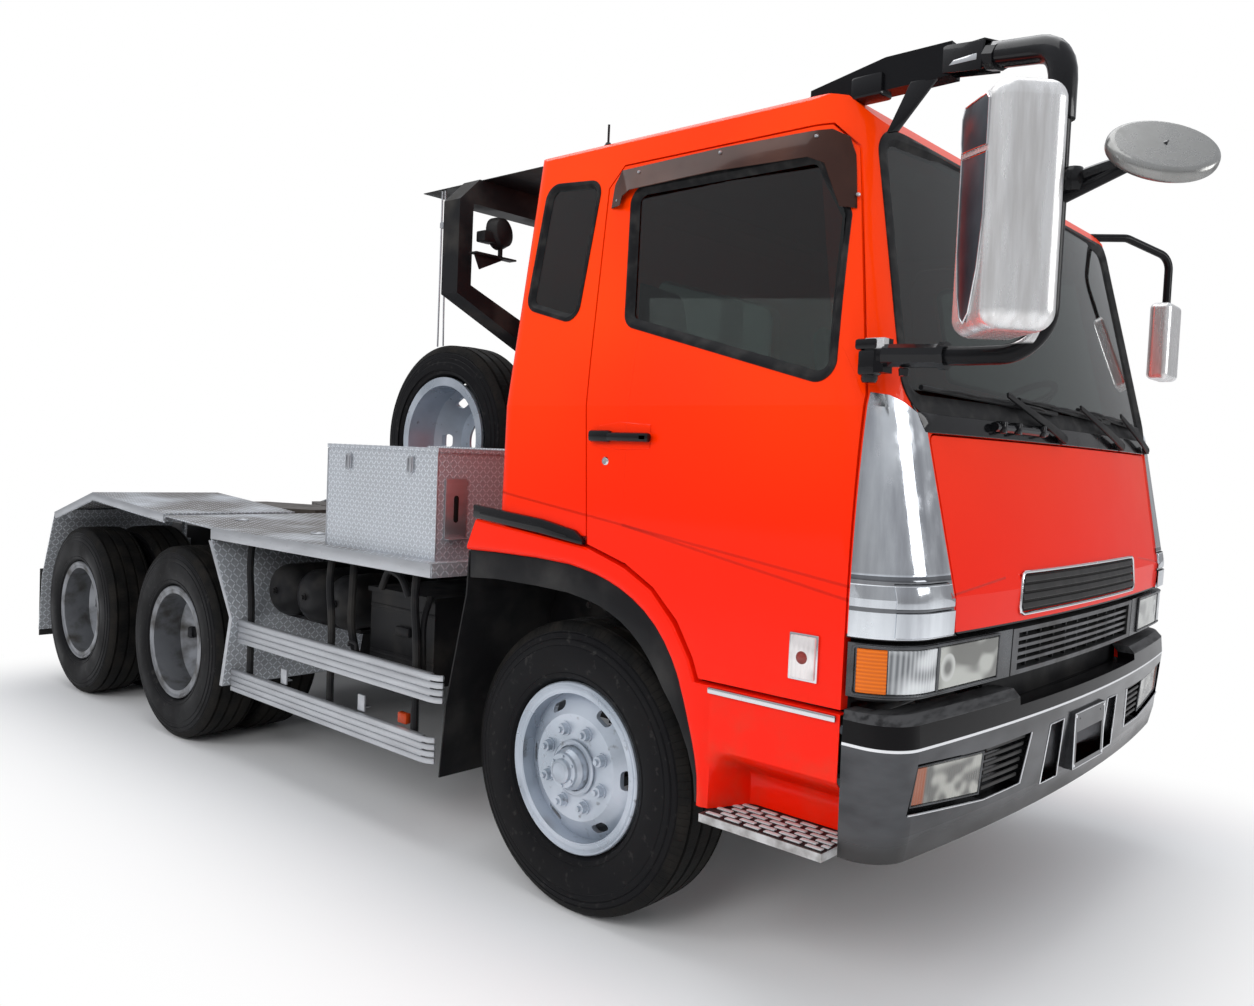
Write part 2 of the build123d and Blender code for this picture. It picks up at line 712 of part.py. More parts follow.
def deck():
    """Chequered walkway behind the cab, sloping up to the coupling, with its posts."""
    outline = [(deck_front_y, deck_z), (deck_fold_y, deck_z), (3020, 1180),
               (3020, 1180 - deck_plate), (deck_fold_y, deck_z - deck_plate),
               (deck_front_y, deck_z - deck_plate)]
    plate = side_prism(outline, -body_half, body_half)
    edge = 12
    edge_rail = box_between(-body_half, -body_half + edge, deck_front_y, deck_fold_y,
                            deck_z - deck_edge_height, deck_z)
    plate += both_sides(edge_rail)
    plate += box_between(-body_half, body_half, deck_front_y, deck_front_y + edge,
                         deck_z - deck_edge_height, deck_z)
    for beam_y in (deck_front_y + 60, 1560, deck_fold_y - 180):
        plate += box_between(-1180, 1180, beam_y, beam_y + 50, deck_z - 60,
                             deck_z - deck_plate)
        plate += both_sides(box_between(rail_outer_x - 60, rail_outer_x - 15, beam_y,
                                        beam_y + 50, rail_top_z, deck_z - 60))
    cradle_x0, cradle_x1 = -spare_outer_x + 40, -spare_outer_x + spare_width - 40
    spare_z = deck_z + 30 + spare_radius
    cradle = box_between(cradle_x0, cradle_x1, spare_y - 260, spare_y + 260, deck_z,
                         deck_z + 90)
    cradle -= Pos(-spare_outer_x + spare_width / 2, spare_y, spare_z) * Rot(0, 90, 0) * \
        Cylinder(spare_radius + fit_gap, 400)
    return plate + cradle


def wing_top(y):
    """Height of the rear wing's sheet at a given Y."""
    slope = (wing_ridge_z - deck_z) / (wing_ridge_y - deck_fold_y)
    return deck_z + slope * (y - deck_fold_y)


def rear_wings():
    """Folded sheet wings over the twin wheels, with a rolled outer edge."""
    start_y = 3040
    top = [(start_y, wing_top(start_y)), (wing_ridge_y, wing_ridge_z),
           (wing_end_y, wing_end_z), (4815, 663), (4862, 300)]
    inside = [(4854, 300), (4807, 664), (4603, 1084), (wing_ridge_y - 2, wing_ridge_z - 8),
              (start_y, wing_top(start_y) - 8)]
    wing = side_prism(top + inside, -body_half, -wing_inner_x)
    lip = side_prism([(start_y, wing_top(start_y)), (wing_ridge_y, wing_ridge_z),
                      (wing_end_y, wing_end_z), (wing_end_y - 30, wing_end_z - 40),
                      (wing_ridge_y, wing_ridge_z - 50), (start_y, wing_top(start_y) - 50)],
                     -body_half, -body_half + 8)
    sheet_top_z = deck_z - deck_edge_height - fit_gap
    sheet = side_prism([(2495, sheet_top_z), (2262, 731), (2345, 382), (2353, 382), (2270, 731),
                        (2503, sheet_top_z)], -body_half, -wing_inner_x)
    leg_x = plate_half_width + 12
    for bracket_y, top_z in ((3110, 1188), (3545, 1215), (4460, 1113)):
        wing += box_between(-1200, -leg_x, bracket_y, bracket_y + 40, top_z - 50, top_z)
        wing += box_between(-wing_inner_x, -leg_x, bracket_y, bracket_y + 40,
                            rail_top_z - 160, top_z)
        wing += box_between(-wing_inner_x, -rail_outer_x - fit_gap, bracket_y,
                            bracket_y + 40, rail_top_z - 160, rail_top_z - 90)
    return both_sides(wing + lip) + both_sides(sheet)


# ---------------------------------------------------------------- side equipment
guard_x = 1215


def side_guards():
    """Two ribbed rails each side on bent black posts from the deck."""
    guard = None
    for low_z, high_z, front_y, rear_y_ in ((606, 722, 668, 2258), (360, 470, 708, 2318)):
        rail = box_between(-guard_x, -guard_x + 26, front_y + 40, rear_y_, low_z, high_z)
        rail += Pos(-guard_x + 26, front_y + 40, low_z) * Rot(0, 0, 35) * box_between(
            -26, 0, -55, 6, 0, high_z - low_z)
        guard = rail if guard is None else guard + rail
    for post_y in (860, 1480, 2190):
        guard += box_between(-guard_x + 26, -guard_x + 60, post_y, post_y + 34, 370,
                             deck_z - deck_plate - fit_gap)
    return both_sides(guard)


tank_radius = 128
tank_z = 870
tank_length = 560


def air_tanks():
    """Three dome-ended air reservoirs side by side on a rack bolted to the rail."""
    first_y, pitch = 1620, 262
    last_y = first_y + 2 * pitch
    rack_top = tank_z - tank_radius + 5
    tanks = box_between(-rail_outer_x, -980, first_y - 60, last_y + 60, rack_top - 16,
                        rack_top)
    tanks += box_between(-rail_outer_x - 12, -rail_outer_x, first_y - 60, last_y + 60,
                         rack_top - 16, tank_z + 60)
    for tank_y in (first_y, first_y + pitch, last_y):
        barrel = Pos(-rail_outer_x - 95 - tank_length / 2, tank_y, tank_z) * Rot(
            0, 90, 0) * Cylinder(tank_radius, tank_length)
        tanks += fillet(barrel.edges(), 85)
    return tanks


def battery_box():
    """Lidded box for the batteries, bolted to the right rail."""
    box = box_between(-1070, -rail_outer_x, 900, 1350, 610, 965)
    return box + box_between(-1082, -rail_outer_x, 890, 1360, 965, 985)


def fuel_tank():
    """Rounded aluminium fuel tank on the left rail, with its straps."""
    tank = fillet(box_between(rail_outer_x + 20, 1120, 900, 1900, 430, 1010).edges()
                  .filter_by(Axis.Y), 110)
    for strap_y in (1080, 1660):
        tank += box_between(rail_outer_x, rail_outer_x + 30, strap_y, strap_y + 60, 470, 990)
    return tank


def silencer():
    """Exhaust box behind the fuel tank with its tail pipe."""
    can = Pos(760, 2080, 720) * Cylinder(150, 330)
    pipe = rod((rail_outer_x, 2080, 720), (620, 2080, 720), 45)
    return fillet(can.edges(), 30) + pipe


# ---------------------------------------------------------------- fifth wheel
pivot_z = 1095
trunnion_x = 400


def fifth_wheel_base():
    """Mounting plate across the rails with the two pedestals that carry the plate."""
    base = box_between(-430, 430, coupling_y - 430, coupling_y + 430, rail_top_z,
                       rail_top_z + 14)
    pedestal = side_prism([(coupling_y - 170, rail_top_z + 14),
                           (coupling_y - 55, pivot_z + 30), (coupling_y + 55, pivot_z + 30),
                           (coupling_y + 170, rail_top_z + 14)], -424, -380)
    bore = Pos(-400, coupling_y, pivot_z) * Rot(0, 90, 0) * Cylinder(24.05, 200)
    return base + both_sides(pedestal - bore)


def fifth_wheel_plate():
    """Coupling plate with its throat and jaw, pivoting on two side pins."""
    front = coupling_y - 400
    back = coupling_y + 440
    half = plate_half_width
    neck = kingpin_radius * sin(radians(50))
    throat_y = coupling_y + kingpin_radius * cos(radians(50))
    outline = [(-half + 130, front), (half - 130, front), (half, front + 170),
               (half, coupling_y + 150), (260, back), (170, back), (neck, throat_y + 60),
               (-neck, throat_y + 60), (-170, back), (-260, back), (-half, coupling_y + 150),
               (-half, front + 170)]
    plate = Pos(0, 0, coupling_top_z - 38) * extrude(make_face(Polyline(*outline, close=True)),
                                                     38)
    jaw = box_between(-130, 130, coupling_y - 150, coupling_y + 110,
                      coupling_top_z - jaw_length, coupling_top_z - 38)
    ribs = both_sides(box_between(-376, -350, coupling_y - 200, coupling_y + 200,
                                  pivot_z - 34, coupling_top_z - 38))
    pins = both_sides(Pos(-391, coupling_y, pivot_z) * Rot(0, 90, 0) * Cylinder(24, 66))
    plate = plate + jaw + ribs + pins
    plate -= Pos(0, coupling_y, coupling_top_z - 50) * Cylinder(kingpin_radius, 200)
    slot = [(-neck, coupling_y), (neck, coupling_y), (neck, throat_y + 60), (170, back + 5),
            (-170, back + 5), (-neck, throat_y + 60)]
    plate -= Pos(0, 0, coupling_top_z - 100) * extrude(make_face(Polyline(*slot, close=True)),
                                                       120)
    return plate


# ---------------------------------------------------------------- tool box
def tool_box():
    """Open-topped sheet box standing on the deck."""
    z0 = deck_z + fit_gap
    outside = box_between(-box_outer_x, -box_inner_x, box_front_y, box_rear_y, z0,
                          box_top_z - lid_thick)
    hollow = box_between(-box_outer_x + box_wall, -box_inner_x - box_wall,
                         box_front_y + box_wall, box_rear_y - box_wall, z0 + box_wall,
                         box_top_z)
    return outside - hollow


def tool_box_lid():
    """Lid with its hinge barrel along the box's inner edge."""
    z0 = box_top_z - lid_thick + fit_gap
    hinge_x, hinge_z, barrel = -box_inner_x + 6, box_top_z + 3, 6
    lid = box_between(-box_outer_x - 6, hinge_x, box_front_y - 8, box_rear_y, z0,
                      box_top_z + fit_gap)
    return lid + rod((hinge_x, box_front_y + 20, hinge_z), (hinge_x, box_rear_y - 20, hinge_z),
                     barrel)


# ---------------------------------------------------------------- wheels
def revolve_about_axle(points):
    """A wheel section given as (distance outwards, radius), spun about the axle."""
    face = make_face(Polyline(*points, close=True))
    return revolve(Plane.XZ * face, Axis.X)


def tyre(radius=tyre_radius, width=tyre_width):
    """Solid ring of rubber that fills the rim between its flanges."""
    half = width / 2
    bead = rim_width / 2 - 13
    points = [(-bead, rim_radius - 28), (bead, rim_radius - 28), (bead, rim_radius + 0.5),
              (half - 4, rim_radius + 45), (half, radius - 105), (half - 14, radius - 35),
              (half - 34, radius - 6), (half * 0.5, radius), (-half * 0.5, radius),
              (-half + 34, radius - 6), (-half + 14, radius - 35), (-half, radius - 105),
              (-half + 4, rim_radius + 45), (-bead, rim_radius + 0.5)]
    return revolve_about_axle(points)


hand_holes = 6
hand_hole_radius = 219
hand_hole_length = 68
hand_hole_width = 32


def rim_barrel():
    """The rolled rim that the tyre sits on."""
    half = rim_width / 2
    flange = 13 - fit_gap
    well = rim_radius - 28 - fit_gap
    return revolve_about_axle([
        (-half, rim_radius), (-half + flange, rim_radius), (-half + flange, well),
        (half - flange, well), (half - flange, rim_radius), (half, rim_radius),
        (half, well - 12), (-half, well - 12)])


def rim_disc(face_x, attach_x, inner_radius):
    """Pressed disc: a flat mounting ring and a cone with hand holes out to the rim barrel."""
    thick = 12 if face_x > attach_x else -12
    edge = rim_radius - 38
    disc = revolve_about_axle([
        (face_x, inner_radius), (face_x, 185), (attach_x, edge), (attach_x - 2 * thick, edge),
        (face_x - thick, 178), (face_x - thick, inner_radius)])
    hole = extrude(Plane.YZ * SlotOverall(hand_hole_length, hand_hole_width), 300, both=True)
    for turn in range(hand_holes):
        disc -= Rot(turn * 360 / hand_holes + 30, 0, 0) * Pos(0, 0, hand_hole_radius) * hole
    return disc


def hub(inner_x, flange_x, outer_x, bore_radius, barrel_radius=78):
    """Hub with the flange that the disc bolts to, blind at its outer end."""
    return revolve_about_axle([
        (inner_x, bore_radius), (inner_x, barrel_radius), (flange_x - 22, barrel_radius + 6),
        (flange_x - 22, 165), (flange_x, 165), (flange_x, barrel_radius),
        (outer_x - 20, barrel_radius - 6), (outer_x, barrel_radius - 20), (outer_x, 0),
        (outer_x - 20, 0), (outer_x - 20, bore_radius)])


spindle_radius = 40
running_gap = 0.05
front_disc_x = 110


def wheel_place(side, x, axle_y):
    """Position of a wheel with its outer face away from the truck."""
    return Pos(side * x, axle_y, tyre_radius) * Rot(0, 0, 0 if side > 0 else 180)


def front_wheel(side):
    """Rim and tyre of one front wheel, at its place."""
    place = wheel_place(side, front_track / 2, 0)
    wheel = rim_barrel() + rim_disc(front_disc_x, 60, 70) + hub(
        -20, front_disc_x - 12, front_disc_x + 55, spindle_radius + running_gap)
    return place * wheel, place * tyre()


def twin_wheel(side, axle_y):
    """Both rims, the hub and drum, and both tyres of one twin wheel."""
    outer = wheel_place(side, rear_outer_x, axle_y)
    inner = wheel_place(side, rear_outer_x - twin_spacing, axle_y)
    face_x = twin_spacing / 2
    drum_radius, drum_depth = 205, 190
    flange_x = -face_x - 12
    drum = revolve_about_axle([
        (flange_x - 22, 80), (flange_x - 22, drum_radius), (flange_x - drum_depth, drum_radius),
        (flange_x - drum_depth, drum_radius - 14), (flange_x - 36, drum_radius - 14),
        (flange_x - 36, 80)])
    rims = outer * (rim_barrel() + rim_disc(-face_x + 12, -50, 70) + drum
                    + hub(flange_x - 70, flange_x, -48, rear_spindle_radius + running_gap))
    rims += inner * (rim_barrel() + rim_disc(face_x, 60, 70))
    return rims, Compound(children=[*(outer * tyre()).solids(), *(inner * tyre()).solids()])


steer_arm_y = 160
steer_arm_x = king_pin_x
steer_arm_thick = 30
tie_rod_z = 372
tie_pin_radius = 8


def knuckle(side):
    """Fork, king pin, spindle and steering arm of one front wheel."""
    place = Pos(side * king_pin_x, 0, tyre_radius)
    pin = place * Cylinder(king_pin_radius, 210)
    lug = 62 + knuckle_gap
    upper = box_between(-50, 70, -50, 50, lug, lug + 34)
    lower = box_between(-50, 70, -50, 50, -lug - 34, -lug)
    cheek = box_between(46, 70, -50, 50, -lug, lug)
    spindle = Pos(150, 0, 0) * Rot(0, 90, 0) * Cylinder(spindle_radius, 200)
    arm_end = steer_arm_x - king_pin_x
    arm = side_prism([(-50, -lug - 34), (-50, -lug), (steer_arm_y + 25, -lug - 26),
                      (steer_arm_y + 25, -lug - 52), (0, -lug - 40)],
                     arm_end - steer_arm_thick / 2, arm_end + steer_arm_thick / 2)
    arm -= Pos(arm_end, steer_arm_y, -lug - 40) * Cylinder(tie_pin_radius + running_gap, 60)
    body = upper + lower + cheek + spindle + arm
    if side < 0:
        body = mirror(body, Plane.YZ)
    return place * body + pin


def tie_rod():
    """Bar below the two steering arms, with a pin up through the eye of each."""
    bar = Pos(0, steer_arm_y, tie_rod_z) * Rot(0, 90, 0) * Cylinder(14, 2 * steer_arm_x + 50)
    pin_top = tie_rod_z + 58
    pin = rod((steer_arm_x, steer_arm_y, tie_rod_z), (steer_arm_x, steer_arm_y, pin_top),
              tie_pin_radius)
    return bar + both_sides(pin)


# ---------------------------------------------------------------- write all nodes
def write_all():
    """Build and write every sub-component."""
    os.makedirs(parts_folder, exist_ok=True)
    single = {
        "chassis_frame": chassis_frame, "front_axle": front_axle, "rear_axles": rear_axles,
        "suspension": suspension, "engine_block": engine_block,
        "bumper": bumper, "front_fenders": front_fenders, "mudguards": mudguards,
        "steps": steps, "deck": deck, "rear_wings": rear_wings,
        "side_guards": side_guards,
        "air_tanks": air_tanks, "battery_box": battery_box, "fuel_tank": fuel_tank,
        "silencer": silencer, "fifth_wheel_base": fifth_wheel_base,
        "fifth_wheel_plate": fifth_wheel_plate, "tool_box": tool_box,
        "tool_box_lid": tool_box_lid, "cab_shell": cab_shell, "front_panel": front_panel,
        "lower_grille": lower_grille, "headlamps": headlamps, "corner_panels": corner_panels,
        "cab_glass": cab_glass, "seats": seats, "dashboard": dashboard,
        "steering_wheel": steering_wheel, "mirrors": mirrors, "canopy_frame": canopy_frame,
        "canopy_sheet": canopy_sheet, "tie_rod": tie_rod,
    }
    for node, make in single.items():
        export(node, make())
    for name, side in (("right", -1), ("left", 1)):
        export("door_" + name, door(side))
        export("door_glass_" + name, door_glass(side))
        export("knuckle_" + name, knuckle(side))
        front_rim, front_tyre = front_wheel(side)
        export("front_rim_" + name, front_rim)
        export("front_tyre_" + name, front_tyre)
        for axle, axle_y in (("mid", mid_y), ("rear", rear_y)):
            rims, tyres = twin_wheel(side, axle_y)
            export(f"{axle}_rims_{name}", rims)
            export(f"{axle}_tyres_{name}", tyres)
    spare = Pos(-spare_outer_x + spare_width / 2, spare_y, deck_z + 30 + spare_radius)
    spare *= Rot(0, 0, 180)
    export("spare_rim", spare * (rim_barrel() + rim_disc(-160, -60, 110)))
    export("spare_tyre", spare * tyre(spare_radius, spare_width))


if __name__ == "__main__":
    write_all()
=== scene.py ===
import math

import bpy
from mathutils import Matrix, Vector


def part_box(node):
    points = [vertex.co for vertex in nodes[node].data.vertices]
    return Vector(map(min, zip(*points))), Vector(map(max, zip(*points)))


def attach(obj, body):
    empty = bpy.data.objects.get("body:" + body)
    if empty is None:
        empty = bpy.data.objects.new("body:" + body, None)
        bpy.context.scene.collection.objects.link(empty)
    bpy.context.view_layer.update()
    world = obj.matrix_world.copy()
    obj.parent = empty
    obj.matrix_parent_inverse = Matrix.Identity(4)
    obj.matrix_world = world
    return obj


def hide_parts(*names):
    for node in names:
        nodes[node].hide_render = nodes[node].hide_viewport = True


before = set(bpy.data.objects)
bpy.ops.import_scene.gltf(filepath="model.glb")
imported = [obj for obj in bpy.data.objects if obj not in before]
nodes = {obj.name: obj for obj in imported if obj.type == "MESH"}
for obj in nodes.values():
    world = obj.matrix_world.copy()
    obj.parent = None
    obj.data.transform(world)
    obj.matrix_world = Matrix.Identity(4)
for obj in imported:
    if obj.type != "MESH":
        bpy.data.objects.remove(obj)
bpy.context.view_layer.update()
both_sides = ((-1, "right"), (1, "left"))


def middle_y(node):
    """The lengthwise place of a node's middle."""
    return sum(corner[1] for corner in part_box(node)) / 2


# Places on the cab are given from the front axle, and shift takes them to the shared frame.
front_axle_y = middle_y("front_axle")
shift = front_axle_y

# ---------------------------------------------------------------- camera
# It stands low off the right front corner, a little turned, and sees the whole truck.
eye = Vector((-3.6644, front_axle_y - 2.4497, 1.5967))
yaw, pitch, roll = (math.radians(angle) for angle in (48.166, -2.577, 2.459))
picture_width, focal_pixels = 1254, 1024.2

forward = Vector((math.sin(yaw) * math.cos(pitch), math.cos(yaw) * math.cos(pitch),
                  math.sin(pitch)))
level_right = Vector((math.cos(yaw), -math.sin(yaw), 0))
level_up = level_right.cross(forward)
right = level_right * math.cos(roll) + level_up * math.sin(roll)
up = level_up * math.cos(roll) - level_right * math.sin(roll)
bpy.ops.object.camera_add()
camera = bpy.context.object
turn = Matrix((right, up, -forward)).transposed().to_4x4()
camera.matrix_world = Matrix.Translation(eye) @ turn
camera.data.sensor_width = 36
camera.data.lens = 36 * focal_pixels / picture_width
camera.data.clip_end = 200
bpy.context.scene.camera = camera

# ---------------------------------------------------------------- floor and light
# A white studio floor that fades into a white background, and a hall's soft light: an even
# grey sky, a wide lamp overhead, and window-like lamps at the right side and the front.
view = bpy.context.scene.view_settings
view.view_transform = "Standard"


class Value:
    """A number that changes over a surface, for use in an expression."""

    def __init__(self, finish, socket):
        self.finish, self.socket = finish, socket

    def maths(self, operation, first, second=0.0):
        """Two numbers put through a Math node."""
        return self.finish.node("ShaderNodeMath", {"operation": operation},
                                {0: first, 1: second})

    def __add__(self, other):
        return self.maths("ADD", self, other)

    __radd__ = __add__

    def __sub__(self, other):
        return self.maths("SUBTRACT", self, other)

    def __rsub__(self, other):
        return self.maths("SUBTRACT", other, self)

    def __mul__(self, other):
        return self.maths("MULTIPLY", self, other)

    __rmul__ = __mul__

    def __gt__(self, other):
        return self.maths("GREATER_THAN", self, other)

    def __lt__(self, other):
        return self.maths("LESS_THAN", self, other)

    def apply(self, operation, second=0.0):
        """This number put through a Math node, with a second one where it takes two."""
        return self.maths(operation, self, second)

    def between(self, low, high):
        """0 below low, 1 above high, smooth between."""
        return self.finish.node("ShaderNodeMapRange", {"interpolation_type": "SMOOTHSTEP"},
                                {0: self, 1: low, 2: high})


class Nodes:
    """The nodes of a material or of the sky, made by expressions."""

    def __init__(self, tree):
        self.tree = tree

    def join(self, socket, value):
        """Links a changing value to a socket, or sets a plain one."""
        if isinstance(value, Value):
            self.tree.links.new(value.socket, socket)
        else:
            socket.default_value = value

    def node(self, kind, settings=None, inputs=None, output=0):
        """Makes a node from its settings and inputs, and gives one of its outputs."""
        made = self.tree.nodes.new(kind)
        for setting, value in (settings or {}).items():
            setattr(made, setting, value)
        for key, value in (inputs or {}).items():
            self.join(made.inputs[key], value)
        return Value(self, made.outputs[output])

    def place(self):
        return self.node("ShaderNodeTexCoord", output="Object")

    def along(self, axis):
        """The place along an axis of the shared frame, in metres."""
        return self.node("ShaderNodeSeparateXYZ", None, {0: self.place()}, "XYZ".index(axis))

    def facing(self, axis):
        """How far the surface faces along an axis, from -1 to 1."""
        normal = self.node("ShaderNodeNewGeometry", output="Normal")
        return self.node("ShaderNodeSeparateXYZ", None, {0: normal}, "XYZ".index(axis))

    def ray(self, kind):
        """1 where what looks is a Camera, Glossy or Transmission ray."""
        return self.node("ShaderNodeLightPath", output=f"Is {kind} Ray")

    def noise(self, scale, detail=3.0, stretch=(1, 1, 1)):
        spot = self.node("ShaderNodeMapping", None, {"Vector": self.place(), "Scale": stretch})
        return self.node("ShaderNodeTexNoise", None,
                         {"Vector": spot, "Scale": scale, "Detail": detail})

    def ripple(self, axis, rate):
        """Waves along an axis, from 0 to 1."""
        return (self.along(axis) * rate).apply("SINE") * 0.5 + 0.5

    def mix(self, mask, first, second):
        """The first colour where the mask is 0, the second where it is 1."""
        return self.node("ShaderNodeMix", {"data_type": "RGBA"},
                         {0: mask, 6: first, 7: second}, 2)


class Finish(Nodes):
    """A material: its Principled shader and the nodes that feed it."""

    def __init__(self, name, colour, roughness, metallic=0.0, **sockets):
        self.material = bpy.data.materials.new(name)
        self.material.use_nodes = True
        super().__init__(self.material.node_tree)
        self.shader = self.tree.nodes["Principled BSDF"]
        self.feed("Base Color", (*colour, 1))
        self.feed("Specular IOR Level", 0.15)
        self.feed("Roughness", roughness)
        self.feed("Metallic", metallic)
        for socket, value in sockets.items():
            self.feed(socket.replace("_", " "), value)

    def feed(self, socket, value):
        """Gives the shader a value or a changing value."""
        self.join(self.shader.inputs[socket], value)

    def colour(self, mask, first, second):
        """Feeds a base colour that goes from the first to the second over a mask."""
        self.feed("Base Color", self.mix(mask, first, second))

    def bump(self, height, depth, strength=1.0):
        self.feed("Normal", self.node("ShaderNodeBump", None, {
            "Height": height, "Distance": depth, "Strength": strength}))


floor_size = 60
fade_start, fade_end = 0.0, 1.25
shade_half_width, shade_half_length = 1.25, 2.75
bpy.ops.mesh.primitive_plane_add(size=floor_size)
floor = bpy.context.object
floor.name = "floor"
floor_paint = Finish("floor_paint", (0.86, 0.86, 0.86), 0.6)
beside = (floor_paint.along("X").apply("ABSOLUTE") - shade_half_width).apply("MAXIMUM")
beyond = (floor_paint.along("Y").apply("ABSOLUTE") - shade_half_length).apply("MAXIMUM")
fade = (beside * beside + beyond * beyond).apply("SQRT").between(fade_start, fade_end)
seen = (floor_paint.ray("Camera") + 0.4 * floor_paint.ray("Glossy")
        + 0.5 * floor_paint.ray("Transmission"))
white = floor_paint.node("ShaderNodeEmission", None, {"Color": (1, 1, 1, 1), "Strength": 1.0})
blend = floor_paint.node("ShaderNodeMixShader", None, {
    0: fade * seen, 1: Value(floor_paint, floor_paint.shader.outputs[0]), 2: white})
floor_paint.join(floor_paint.tree.nodes["Material Output"].inputs[0], blend)
floor.data.materials.append(floor_paint.material)

world = bpy.data.worlds.new("hall")
bpy.context.scene.world = world
world.use_nodes = True
hall = Nodes(world.node_tree)
sky_low, sky_high = (0.24, 0.24, 0.25, 1), (0.60, 0.62, 0.66, 1)
direction = hall.node("ShaderNodeTexCoord", output=0)
height = hall.node("ShaderNodeSeparateXYZ", None, {0: direction}, 2)
sky = hall.mix(height.between(-0.1, 0.75), sky_low, sky_high)
seen = hall.ray("Camera") + 0.10 * hall.ray("Glossy") + 0.35 * hall.ray("Transmission")
sky = hall.mix(seen, sky, (1, 1, 1, 1))
hall.join(world.node_tree.nodes["Background"].inputs[0], sky)

# place, aim, width, height, watts
lamps = [
    ((0.0, 0.0, 6.5), (0.0, 0.0, 0.0), 6.0, 7.0, 190),
    ((-6.5, -3.5, 4.2), (-1.2, -2.0, 1.2), 2.2, 3.0, 150),
    ((-7.0, 1.5, 4.0), (-1.0, 0.5, 1.0), 3.5, 2.0, 110),
    ((1.5, -8.0, 3.2), (0.0, -2.5, 1.2), 3.0, 2.4, 110),
]
for place, aim, width, depth, watts in lamps:
    bpy.ops.object.light_add(type="AREA", location=place)
    lamp = bpy.context.object
    lamp.rotation_euler = (Vector(place) - Vector(aim)).to_track_quat("Z", "Y").to_euler()
    lamp.data.shape = "RECTANGLE"
    lamp.data.size, lamp.data.size_y = width, depth
    lamp.data.energy = watts
    lamp.visible_glossy = place[0] > -5  # the side lamps would show as squares in the paint

# ---------------------------------------------------------------- frame, axles and springs
# Welded steel ladder frame with its axles, leaf springs and brackets, brushed chassis black
# and filmed with dry road dust. The engine stands as one plain casting between the rails.


def wear(finish, *names):
    """Puts a finish on CAD nodes."""
    for name in names:
        nodes[name].data.materials.clear()
        nodes[name].data.materials.append(finish.material)


frame_black = Finish("frame_black", (0.012, 0.012, 0.013), 0.5)
settled = frame_black.noise(6, 6).between(0.45, 0.75)
frame_black.colour(settled * 0.5, (0.011, 0.011, 0.012, 1), (0.062, 0.058, 0.052, 1))
frame_black.feed("Roughness", 0.42 + 0.3 * settled)
frame_black.bump(frame_black.noise(120, 3), 0.001, 0.3)
wear(frame_black, "chassis_frame", "front_axle", "rear_axles", "suspension", "air_tanks",
     "battery_box", "silencer", "canopy_frame", "knuckle_right", "knuckle_left", "tie_rod")

engine_iron = Finish("engine_iron", (0.10, 0.10, 0.10), 0.6, 0.6)
engine_iron.colour(engine_iron.noise(7, 5), (0.12, 0.12, 0.12, 1), (0.035, 0.03, 0.026, 1))
engine_iron.bump(engine_iron.noise(180, 4), 0.002, 0.5)
wear(engine_iron, "engine_block")


def alone(piece):
    """Selects one piece and nothing else."""
    bpy.ops.object.select_all(action="DESELECT")
    piece.select_set(True)
    bpy.context.view_layer.objects.active = piece


def fitted(piece, name, finish, body):
    """Names a piece, gives it its finish and fixes it to a body."""
    alone(piece)
    if piece.type != "MESH":
        bpy.ops.object.convert(target="MESH")
        piece = bpy.context.object
    bpy.ops.object.transform_apply(location=True, rotation=True, scale=True)
    piece.name = name
    piece.data.materials.clear()
    piece.data.materials.append(finish.material)
    bpy.ops.object.shade_smooth_by_angle(angle=math.radians(32))
    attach(piece, body)
    return piece


def joined(pieces):
    """Makes one piece of several."""
    bpy.ops.object.select_all(action="DESELECT")
    for piece in pieces:
        piece.select_set(True)
    bpy.context.view_layer.objects.active = pieces[0]
    bpy.ops.object.join()
    return bpy.context.object


def built(name, points, edges, faces):
    """An object from its points, edges and faces, selected alone."""
    mesh = bpy.data.meshes.new(name)
    mesh.from_pydata(points, edges, faces)
    piece = bpy.data.objects.new(name, mesh)
    bpy.context.collection.objects.link(piece)
    alone(piece)
    return piece


def face_outwards():
    """Turns all normals of the active piece outwards."""
    bpy.ops.object.mode_set(mode="EDIT")
    bpy.ops.mesh.select_all(action="SELECT")
    bpy.ops.mesh.normals_make_consistent(inside=False)
    bpy.ops.object.mode_set(mode="OBJECT")


def thicken(piece, thickness):
    """Gives the faces of a piece a wall, half to each side."""
    wall = piece.modifiers.new("wall", "SOLIDIFY")
    wall.thickness, wall.offset = thickness, 0
    bpy.ops.object.modifier_apply(modifier="wall")


def round_edges(piece, edge, segments=2):
    """Bevels the sharp edges of a piece."""
    rounding = piece.modifiers.new("rounding", "BEVEL")
    rounding.width, rounding.segments = edge, segments
    bpy.ops.object.modifier_apply(modifier="rounding")


def cube(low, high):
    """A plain box between two corners, its middle still its own origin."""
    bpy.ops.object.select_all(action="DESELECT")
    middle = [(a + b) / 2 for a, b in zip(low, high)]
    bpy.ops.mesh.primitive_cube_add(size=1, location=middle)
    piece = bpy.context.object
    piece.scale = [b - a for a, b in zip(low, high)]
    bpy.ops.object.transform_apply(location=False, rotation=False, scale=True)
    return piece


def block(low, high, edge=0.003):
    """A rectangular bar between two corners, its edges rounded."""
    piece = cube(low, high)
    round_edges(piece, edge)
    bpy.ops.object.transform_apply(location=True)
    return piece


def bar(side, near, far, low, high, edge=0.003):
    """A block on one side of the truck: two distances from its middle, two (y, z) corners."""
    xs = sorted((side * near, side * far))
    return block((xs[0], *low), (xs[1], *high), edge)


def plate_of(outline, thickness, edge=0.002):
    """A flat plate from its outline in space, thickened both ways, edges rounded."""
    piece = built("plate", outline, [], [list(range(len(outline)))])
    thicken(piece, thickness)
    round_edges(piece, edge)
    return piece


